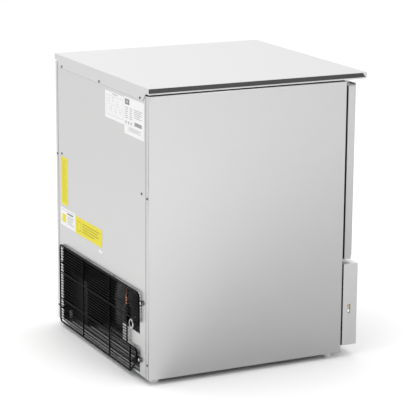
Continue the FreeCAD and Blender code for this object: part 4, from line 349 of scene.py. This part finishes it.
# ------------------------------------------------------------------ detail pieces
class Builder:
    """Collects faces, each with a material, and turns them into one piece that rides on a body."""

    def __init__(self, name, *material_keys):
        self.name = name
        self.keys = material_keys
        self.points = []
        self.faces = []
        self.face_materials = []

    def face(self, corners, key):
        start = len(self.points)
        self.points.extend(corners)
        self.faces.append(tuple(range(start, start + len(corners))))
        self.face_materials.append(self.keys.index(key))

    def finish(self, body, weld=True, smooth_angle=35.0):
        mesh = bpy.data.meshes.new(self.name)
        mesh.from_pydata([tuple(p) for p in self.points], [], self.faces)
        for key in self.keys:
            mesh.materials.append(looks[key])
        for polygon, index in zip(mesh.polygons, self.face_materials):
            polygon.material_index = index
        work = bmesh.new()
        work.from_mesh(mesh)
        if weld:
            bmesh.ops.remove_doubles(work, verts=work.verts, dist=0.005 * MM)
            bmesh.ops.recalc_face_normals(work, faces=work.faces)
        limit = math.radians(smooth_angle)
        for polygon in work.faces:
            polygon.smooth = True
        for edge in work.edges:
            edge.smooth = edge.is_manifold and edge.calc_face_angle(0.0) < limit
        work.to_mesh(mesh)
        work.free()
        item = bpy.data.objects.new(self.name, mesh)
        bpy.context.collection.objects.link(item)
        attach(item, body)
        return item


def box_of(node_name):
    low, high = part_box(node_name)
    return Vector(low), Vector(high)


def islands(node_name):
    """The lowest and highest corner of each separate solid in a node, in a fixed order."""
    work = bmesh.new()
    work.from_mesh(nodes[node_name].data)
    bmesh.ops.remove_doubles(work, verts=work.verts, dist=0.01 * MM)
    unseen = set(work.verts)
    found = []
    while unseen:
        stack, members = [unseen.pop()], []
        while stack:
            vertex = stack.pop()
            members.append(vertex.co.copy())
            for edge in vertex.link_edges:
                other = edge.other_vert(vertex)
                if other in unseen:
                    unseen.discard(other)
                    stack.append(other)
        low = Vector(min(p[i] for p in members) for i in range(3))
        high = Vector(max(p[i] for p in members) for i in range(3))
        found.append((low, high))
    work.free()
    return sorted(found, key=lambda pair: tuple(round(v, 4) for v in pair[0]))


def turned(builder, centre, profile, key, segments=24):
    """A surface turned round the Y axis through centre; profile lists (radius, y) pairs."""
    def ring(radius, y):
        return [
            Vector((
                centre[0] + radius * math.cos(2 * math.pi * i / segments),
                y,
                centre[2] + radius * math.sin(2 * math.pi * i / segments),
            ))
            for i in range(segments)
        ]

    rings = [ring(radius, y) for radius, y in profile]
    for lower, upper in zip(rings, rings[1:]):
        for i in range(segments):
            j = (i + 1) % segments
            builder.face([lower[i], lower[j], upper[j], upper[i]], key)


def make_screw_heads():
    """Domed heads with a cross recess painted on as dark bars, in place of the plain screws."""
    screws = Builder("screw_heads", "screw", "ink_and_shade", "tinned")
    head_height = 1.8 * MM
    # the guard's two screws are bright; they stand on its eyes, further out than the others
    bright_beyond = box_of("worktop")[1].y + 3.5 * MM
    for low, high in islands("panel_screws"):
        # all but the guard's two screws take the darkened screw metal, which is painted shade
        metal = "tinned" if high.y > bright_beyond else "screw"
        centre = (low + high) / 2
        radius = (high.x - low.x) / 2
        face = high.y
        seat = face - head_height
        turned(
            screws,
            centre,
            [
                (radius * 0.5, low.y), (radius * 0.5, seat), (radius, seat),
                (radius, seat + 0.5 * MM), (radius * 0.93, seat + 1.0 * MM),
                (radius * 0.72, face - 0.35 * MM), (radius * 0.36, face - 0.06 * MM),
                (0.02 * MM, face),
            ],
            metal,
        )
        # the recess: two crossing dark bars just proud of the dome, painted shade in place of a sunk
        # recess
        long, thin, top = radius * 0.6, radius * 0.14, face + 0.01 * MM
        for across, up in ((long, thin), (thin, long)):
            x, z = centre.x, centre.z
            screws.face(
                [
                    Vector((x - across, top, z - up)), Vector((x - across, top, z + up)),
                    Vector((x + across, top, z + up)), Vector((x + across, top, z - up)),
                ],
                "ink_and_shade",
            )
    item = screws.finish("cabinet")
    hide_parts("panel_screws")


def make_folded_panel(node_name):
    """A side panel as bent sheet: its folds have a real radius."""
    rear_return, front_return, fold_radius, thickness = 16 * MM, 18 * MM, 1.6 * MM, 1.0 * MM
    low, high = box_of(node_name)
    outer, sign = (low.x, 1) if node_name.startswith("left") else (high.x, -1)
    rear_inner = outer + sign * rear_return
    front_inner = outer + sign * front_return
    y0, y1, z0, z1 = low.y, high.y, low.z, high.z
    sheet = Builder(node_name + "_sheet", "side")
    for corners in (
        [(outer, y0, z0), (outer, y1, z0), (outer, y1, z1), (outer, y0, z1)],
        [(outer, y1, z0), (rear_inner, y1, z0), (rear_inner, y1, z1), (outer, y1, z1)],
        [(outer, y0, z0), (front_inner, y0, z0), (front_inner, y0, z1), (outer, y0, z1)],
        [(outer, y0, z1), (outer, y1, z1), (front_inner, y1, z1), (front_inner, y0, z1)],
    ):
        sheet.face(corners, "side")
    item = sheet.finish("cabinet", smooth_angle=20.0)
    bend = item.modifiers.new("folds", "BEVEL")
    bend.width = fold_radius
    bend.segments = 4
    bend.limit_method = "ANGLE"
    bend.angle_limit = math.radians(30)
    thick = item.modifiers.new("sheet", "SOLIDIFY")
    thick.thickness = thickness
    thick.offset = -1.0
    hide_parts(node_name)


def make_seams():
    """Fine dark lines of sealant under the rear apron and along the returns: their black is painted
    shadow, standing for the shade in the gaps there.
    """
    apron_height, apron_end, apron_corner = 36 * MM, 16 * MM, 17 * MM
    return_seam_inset, start_drop, end_gap = 16.3 * MM, 2 * MM, 0.5 * MM
    half_width, proud, sunk, crest_share = 0.95 * MM, 0.25 * MM, 0.2 * MM, 0.6

    panel_low, panel_high = box_of("rear_panel")
    top_high = box_of("worktop")[1]
    half_x = box_of("right_side_panel")[1].x
    flat_x, cut_x = top_high.x - apron_corner, top_high.x - 2 * apron_corner
    end_z, low_z = top_high.z - apron_end, top_high.z - apron_height
    edge = half_x - return_seam_inset
    paths = [
        [
            (sign * (half_x - end_gap), end_z), (sign * flat_x, end_z),
            (sign * cut_x, low_z), (0.0, low_z),
        ]
        for sign in (-1, 1)
    ]
    paths += [
        [(sign * edge, panel_high.z - start_drop), (sign * edge, panel_low.z)]
        for sign in (-1, 1)
    ]
    beads = Builder("seam_shadow_beads", "sealant_shadow")
    crest, foot = Vector((0, panel_high.y + proud, 0)), Vector((0, panel_high.y - sunk, 0))
    for path in paths:
        for (x0, z0), (x1, z1) in zip(path, path[1:]):
            along = Vector((x1 - x0, 0, z1 - z0)).normalized()
            across = Vector((-along.z, 0, along.x)) * half_width
            a, b = Vector((x0, 0, z0)), Vector((x1, 0, z1))
            for way in (1, -1):
                outer = across * way
                shoulder = outer * crest_share
                top_a, top_b = a + crest, b + crest
                beads.face([top_a, top_b, top_b + shoulder, top_a + shoulder], "sealant_shadow")
                beads.face(
                    [top_a + shoulder, top_b + shoulder, b + foot + outer, a + foot + outer],
                    "sealant_shadow",
                )
    item = beads.finish("cabinet")


def make_labels():
    """Colours the labels and prints plain blocks on them, with no lettering or signs."""
    item = nodes["rear_labels"]
    item.data.materials.append(looks["yellow"])
    # each label is told by its width and height in millimetres
    sizes = {
        "strip": (49, 140), "notice": (191, 50), "warning": (111, 53),
        "rating": (127, 99), "circuit": (127, 74),
    }
    named = {}
    for low, high in islands("rear_labels"):
        wide, tall = (high.x - low.x) / MM, (high.z - low.z) / MM
        for name, (width, height) in sizes.items():
            if abs(wide - width) < 1 and abs(tall - height) < 1:
                named[name] = (low, high)
    for polygon in item.data.polygons:
        x, z = polygon.center.x, polygon.center.z
        for name in ("strip", "notice"):
            low, high = named[name]
            if low.x - MM < x < high.x + MM and low.z - MM < z < high.z + MM:
                polygon.material_index = 1

    prints = Builder("label_prints", "ink_and_shade", "grey_ink", "faint_ink", "olive_ink", "yellow")
    level = 0.05 * MM

    def place(name):
        """A function from a label's own coordinates, 0 to 1 from its upper left, to the frame."""
        low, high = named[name]

        def at(u, v, lift=1):
            return Vector((
                high.x - u * (high.x - low.x), high.y + level * lift, high.z - v * (high.z - low.z)
            ))
        return at

    def bar(at, u0, v0, u1, v1, key, lift=1):
        prints.face([at(u0, v0, lift), at(u1, v0, lift), at(u1, v1, lift), at(u0, v1, lift)], key)

    def rows(at, u0, u1, v0, v1, count, key, fill=0.45):
        """Lines of uneven length that stand for print."""
        pitch = (v1 - v0) / count
        for i in range(count):
            end = u0 + (u1 - u0) * (1.0, 0.86, 0.94, 0.7, 0.9)[i % 5]
            bar(at, u0, v0 + pitch * i, end, v0 + pitch * (i + fill), key)

    def frame_line(at, u0, v0, u1, v1, width_u, width_v, key):
        bar(at, u0, v0, u1, v0 + width_v, key)
        bar(at, u0, v1 - width_v, u1, v1, key)
        bar(at, u0, v0 + width_v, u0 + width_u, v1 - width_v, key)
        bar(at, u1 - width_u, v0 + width_v, u1, v1 - width_v, key)

    rating = place("rating")
    bar(rating, 0.04, 0.05, 0.26, 0.2, "grey_ink")
    bar(rating, 0.1, 0.09, 0.2, 0.16, "faint_ink", 2)
    rows(rating, 0.05, 0.2, 0.27, 0.6, 6, "faint_ink")
    rows(rating, 0.27, 0.42, 0.27, 0.6, 6, "faint_ink")
    rows(rating, 0.5, 0.92, 0.26, 0.52, 5, "faint_ink")
    bar(rating, 0.52, 0.6, 0.88, 0.7, "grey_ink")
    for i in range(5):
        bar(rating, 0.56 + 0.065 * i, 0.61, 0.585 + 0.065 * i, 0.69, "faint_ink", 2)
    for i in range(3):
        bar(rating, 0.06 + 0.13 * i, 0.64, 0.13 + 0.13 * i, 0.72, "faint_ink")
    rows(rating, 0.22, 0.86, 0.79, 0.91, 3, "faint_ink")

    circuit = place("circuit")
    frame_line(circuit, 0.08, 0.14, 0.93, 0.86, 0.008, 0.012, "faint_ink")
    rows(circuit, 0.38, 0.66, 0.04, 0.1, 1, "faint_ink", 0.7)
    boxes = ((0.2, 0.3), (0.42, 0.26), (0.66, 0.32), (0.3, 0.6), (0.56, 0.62), (0.8, 0.58))
    for u, v in boxes:
        frame_line(circuit, u - 0.05, v - 0.06, u + 0.05, v + 0.06, 0.008, 0.014, "faint_ink")
        bar(circuit, u - 0.004, v + 0.06, u + 0.004, v + 0.16, "faint_ink")
    bar(circuit, 0.2, 0.45, 0.8, 0.46, "faint_ink")

    warning = place("warning")
    bar(warning, 0.1, 0.34, 0.36, 0.8, "yellow")
    bar(warning, 0.46, 0.2, 0.84, 0.26, "ink_and_shade")
    rows(warning, 0.46, 0.9, 0.36, 0.86, 6, "faint_ink")
    bar(warning, 0.08, 0.1, 0.92, 0.13, "faint_ink")

    notice = place("notice")
    frame_line(notice, 0.06, 0.22, 0.2, 0.8, 0.012, 0.04, "olive_ink")
    rows(notice, 0.26, 0.92, 0.22, 0.84, 4, "olive_ink", 0.5)

    strip = place("strip")
    rows(strip, 0.14, 0.86, 0.06, 0.95, 22, "olive_ink", 0.28)
    item = prints.finish("cabinet", weld=False)


def make_gasket():
    """A bellows gasket round the door, mitred at its corners."""
    low, high = box_of("door_gasket")
    base, face = low.y, high.y
    # the section, as (inset from the gasket's outline, y) pairs
    profile = [
        (0.0, base), (-4.2 * MM, base), (-4.4 * MM, base + 0.9 * MM), (-3.6 * MM, base + 1.6 * MM),
        (0.0, base + 1.2 * MM), (2.2 * MM, base + 2.0 * MM), (0.3 * MM, base + 3.0 * MM),
        (0.3 * MM, base + 3.5 * MM), (2.4 * MM, base + 4.4 * MM), (0.2 * MM, base + 5.2 * MM),
        (0.2 * MM, face - 0.3 * MM), (1.0 * MM, face), (10.0 * MM, face), (11.0 * MM, face - 1.2 * MM),
        (13.6 * MM, face - 2.4 * MM), (12.2 * MM, base + 2.4 * MM), (14.0 * MM, base + 1.0 * MM),
        (14.0 * MM, base),
    ]

    def corners(inset, y):
        return [
            Vector((low.x + inset, y, low.z + inset)), Vector((high.x - inset, y, low.z + inset)),
            Vector((high.x - inset, y, high.z - inset)), Vector((low.x + inset, y, high.z - inset)),
        ]

    gasket = Builder("bellows_gasket", "rubber")
    rings = [corners(inset, y) for inset, y in profile]
    for first, second in zip(rings, rings[1:] + rings[:1]):
        for i in range(4):
            j = (i + 1) % 4
            gasket.face([first[i], first[j], second[j], second[i]], "rubber")
    item = gasket.finish("door")
    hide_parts("door_gasket")


def make_louvre_blades():
    """A sloping blade in each slot of the grille."""
    low, high = box_of("louvre_grille")
    blades = Builder("louvre_blades", "black")
    front, back = low.y + 0.5 * MM, high.y - 0.2 * MM
    rows, columns = 9, 3
    pitch, length, gap, tall = 16 * MM, 150 * MM, 26 * MM, 6 * MM
    near, far = 0.4 * MM, 1.5 * MM
    first = low.z + 14 * MM
    for row in range(rows):
        for column in range(columns):
            x0 = (length + gap) * (column - columns / 2) + gap / 2
            x1 = x0 + length
            z0 = first + pitch * row
            section = [
                (front, z0 + near), (front, z0 + far),
                (back, z0 + tall - near), (back, z0 + tall - far),
            ]
            for i in range(4):
                (ya, za), (yb, zb) = section[i], section[(i + 1) % 4]
                blades.face([(x0, ya, za), (x1, ya, za), (x1, yb, zb), (x0, yb, zb)], "black")
    item = blades.finish("cabinet")


def make_panel_seal():
    """A round-nosed foam strip in the gap between the cabinet and the lower front panel."""
    inset, depth, nose, press = 1.6 * MM, 7 * MM, 0.8 * MM, 0.1 * MM
    panel_low, panel_high = box_of("lower_front_panel")
    seal = Builder("lower_panel_seal", "dark_foam")
    back, front = box_of("left_side_panel")[0].y - press, panel_high.y + press
    middle = (back + front) / 2
    for sign in (-1, 1):
        face = (panel_high.x - inset) * sign
        inner = face - depth * sign
        shoulder = face - nose * sign
        section = [
            (inner, back), (shoulder, back), (face, middle), (shoulder, front), (inner, front),
        ]
        z0, z1 = panel_low.z + MM, panel_high.z - 2 * MM
        lower = [Vector((x, y, z0)) for x, y in section]
        upper = [Vector((x, y, z1)) for x, y in section]
        for i in range(len(section)):
            j = (i + 1) % len(section)
            seal.face([lower[i], lower[j], upper[j], upper[i]], "dark_foam")
        seal.face(lower[::-1], "dark_foam")
        seal.face(upper, "dark_foam")
    item = seal.finish("cabinet")


def finish_fittings():
    """Bright metal on the inlet's threaded end and on the base pan's rear lip. The lip, by the
    opening, keeps the lighter zinc while the rest of the pan has a darker copy of it: painted light
    and shade.
    """
    for node_name, reach, key in (
        ("water_inlet_valve", 2.2 * MM, "unit"), ("base_pan", 1.5 * MM, "zinc"),
    ):
        item = nodes[node_name]
        item.data.materials.append(looks[key])
        high = box_of(node_name)[1]
        for polygon in item.data.polygons:
            if polygon.center.y > high.y - reach:
                polygon.material_index = 1


make_screw_heads()
make_folded_panel("left_side_panel")
make_folded_panel("right_side_panel")
make_seams()
make_labels()
make_gasket()
make_louvre_blades()
make_panel_seal()
finish_fittings()


# ------------------------------------------------------------------ stage
def aimed(item, direction, roll=0.0):
    """Turns a camera or light so that it looks along a direction."""
    item.rotation_mode = "QUATERNION"
    turn = direction.to_track_quat("-Z", "Y")
    item.rotation_quaternion = turn @ Matrix.Rotation(roll, 3, "Z").to_quaternion()


def make_camera():
    azimuth, elevation, roll = map(math.radians, (243.68, 13.66, 0.43))
    camera = bpy.data.objects.new("camera", bpy.data.cameras.new("camera"))
    bpy.context.collection.objects.link(camera)
    camera.data.sensor_width = 36.0
    camera.data.lens = 160.64
    camera.location = (-4.576, 2.252, 1.624)
    forward = Vector((
        -math.sin(azimuth) * math.cos(elevation),
        math.cos(azimuth) * math.cos(elevation),
        -math.sin(elevation),
    ))
    aimed(camera, forward, roll)
    camera.data.clip_end = 60.0
    bpy.context.scene.camera = camera


def area_light(name, location, target, size, power):
    light = bpy.data.objects.new(name, bpy.data.lights.new(name, "AREA"))
    bpy.context.collection.objects.link(light)
    light.data.shape = "RECTANGLE"
    light.data.size, light.data.size_y = size
    light.data.energy = power
    light.location = location
    light.visible_camera = False
    aimed(light, Vector(target) - Vector(location))


def flat_piece(name, corners, material):
    """One flat face through the given corners."""
    mesh = bpy.data.meshes.new(name)
    mesh.from_pydata(corners, [], [tuple(range(len(corners)))])
    item = bpy.data.objects.new(name, mesh)
    bpy.context.collection.objects.link(item)
    mesh.materials.append(material)
    return item


def make_floor():
    reach = 14.0
    paper = surface(
        "studio_floor", (0.93, 0.93, 0.93), (3.0, 3.0, 3.0), variation=0.004, roughness=0.8,
        spread=0.02, strength=0.0,
    ).material
    corners = [(-reach, -reach, 0), (reach, -reach, 0), (reach, reach, 0), (-reach, reach, 0)]
    floor = flat_piece("floor", corners, paper)


def make_grey_card():
    """A card on the floor beside the cabinet, seen only in reflections."""
    far, near, front, lift = -2.3, -0.34, -3.0, 0.001
    card_paper = surface(
        "card_paper", (0.56, 0.56, 0.56), (60.0, 60.0, 60.0), variation=0.03, roughness=0.9,
        strength=0.05,
    ).material
    corners = [
        (far, front, lift), (near, front, lift), (near, 0.28, lift), (-1.0, -0.15, lift),
        (far, -1.1, lift),
    ]
    card = flat_piece("grey_card", corners, card_paper)
    card.visible_camera = False
    card.visible_shadow = False
    card.visible_diffuse = False


def make_world():
    """A white backdrop whose reflections fall off towards two dark lobes."""
    open_strength = 1.4
    world = bpy.data.worlds.new("studio")
    bpy.context.scene.world = world
    world.use_nodes = True
    tree = world.node_tree
    direction = tree.nodes.new("ShaderNodeTexCoord").outputs["Generated"]
    strength = None
    # each lobe: its direction, the cosines where it starts and ends, the share of light left
    for centre, start, end, share in (
        ((-0.67, 0.74, 0.05), 0.4, 0.85, 0.14),
        ((-0.25, -0.97, 0.0), -0.2, 1.0, 0.55),
    ):
        toward = tree.nodes.new("ShaderNodeVectorMath")
        toward.operation = "DOT_PRODUCT"
        tree.links.new(direction, toward.inputs[0])
        toward.inputs[1].default_value = centre
        ramp = tree.nodes.new("ShaderNodeMapRange")
        ramp.interpolation_type = "SMOOTHSTEP"
        tree.links.new(toward.outputs["Value"], ramp.inputs["Value"])
        for socket, value in (
            ("From Min", start), ("From Max", end), ("To Min", 1.0), ("To Max", share),
        ):
            ramp.inputs[socket].default_value = value
        product = tree.nodes.new("ShaderNodeMath")
        product.operation = "MULTIPLY"
        tree.links.new(ramp.outputs["Result"], product.inputs[0])
        if strength is None:
            product.inputs[1].default_value = open_strength
        else:
            tree.links.new(strength, product.inputs[1])
        strength = product.outputs["Value"]
    background = tree.nodes["Background"]
    background.inputs["Color"].default_value = (1.0, 1.0, 1.0, 1.0)
    # seen directly, the backdrop is never darker than plain white
    seen = tree.nodes.new("ShaderNodeMath")
    seen.operation = "MAXIMUM"
    tree.links.new(strength, seen.inputs[0])
    tree.links.new(tree.nodes.new("ShaderNodeLightPath").outputs["Is Camera Ray"], seen.inputs[1])
    tree.links.new(seen.outputs["Value"], background.inputs["Strength"])


def make_lights():
    cabinet = (0.0, 0.0, 0.45)
    area_light("key", (-1.6, 3.0, 3.6), cabinet, (2.8, 2.8), 24.0)
    area_light("top", (0.2, 0.2, 4.2), cabinet, (3.5, 3.5), 24.0)
    # brightens the floor beside the cabinet, which the side's steel reflects
    area_light("side_floor", (-3.4, -0.6, 2.3), (-3.4, -0.6, 0.0), (1.6, 1.6), 40.0)


make_camera()
make_floor()
make_grey_card()
make_world()
make_lights()
bpy.context.scene.view_settings.view_transform = "Standard"
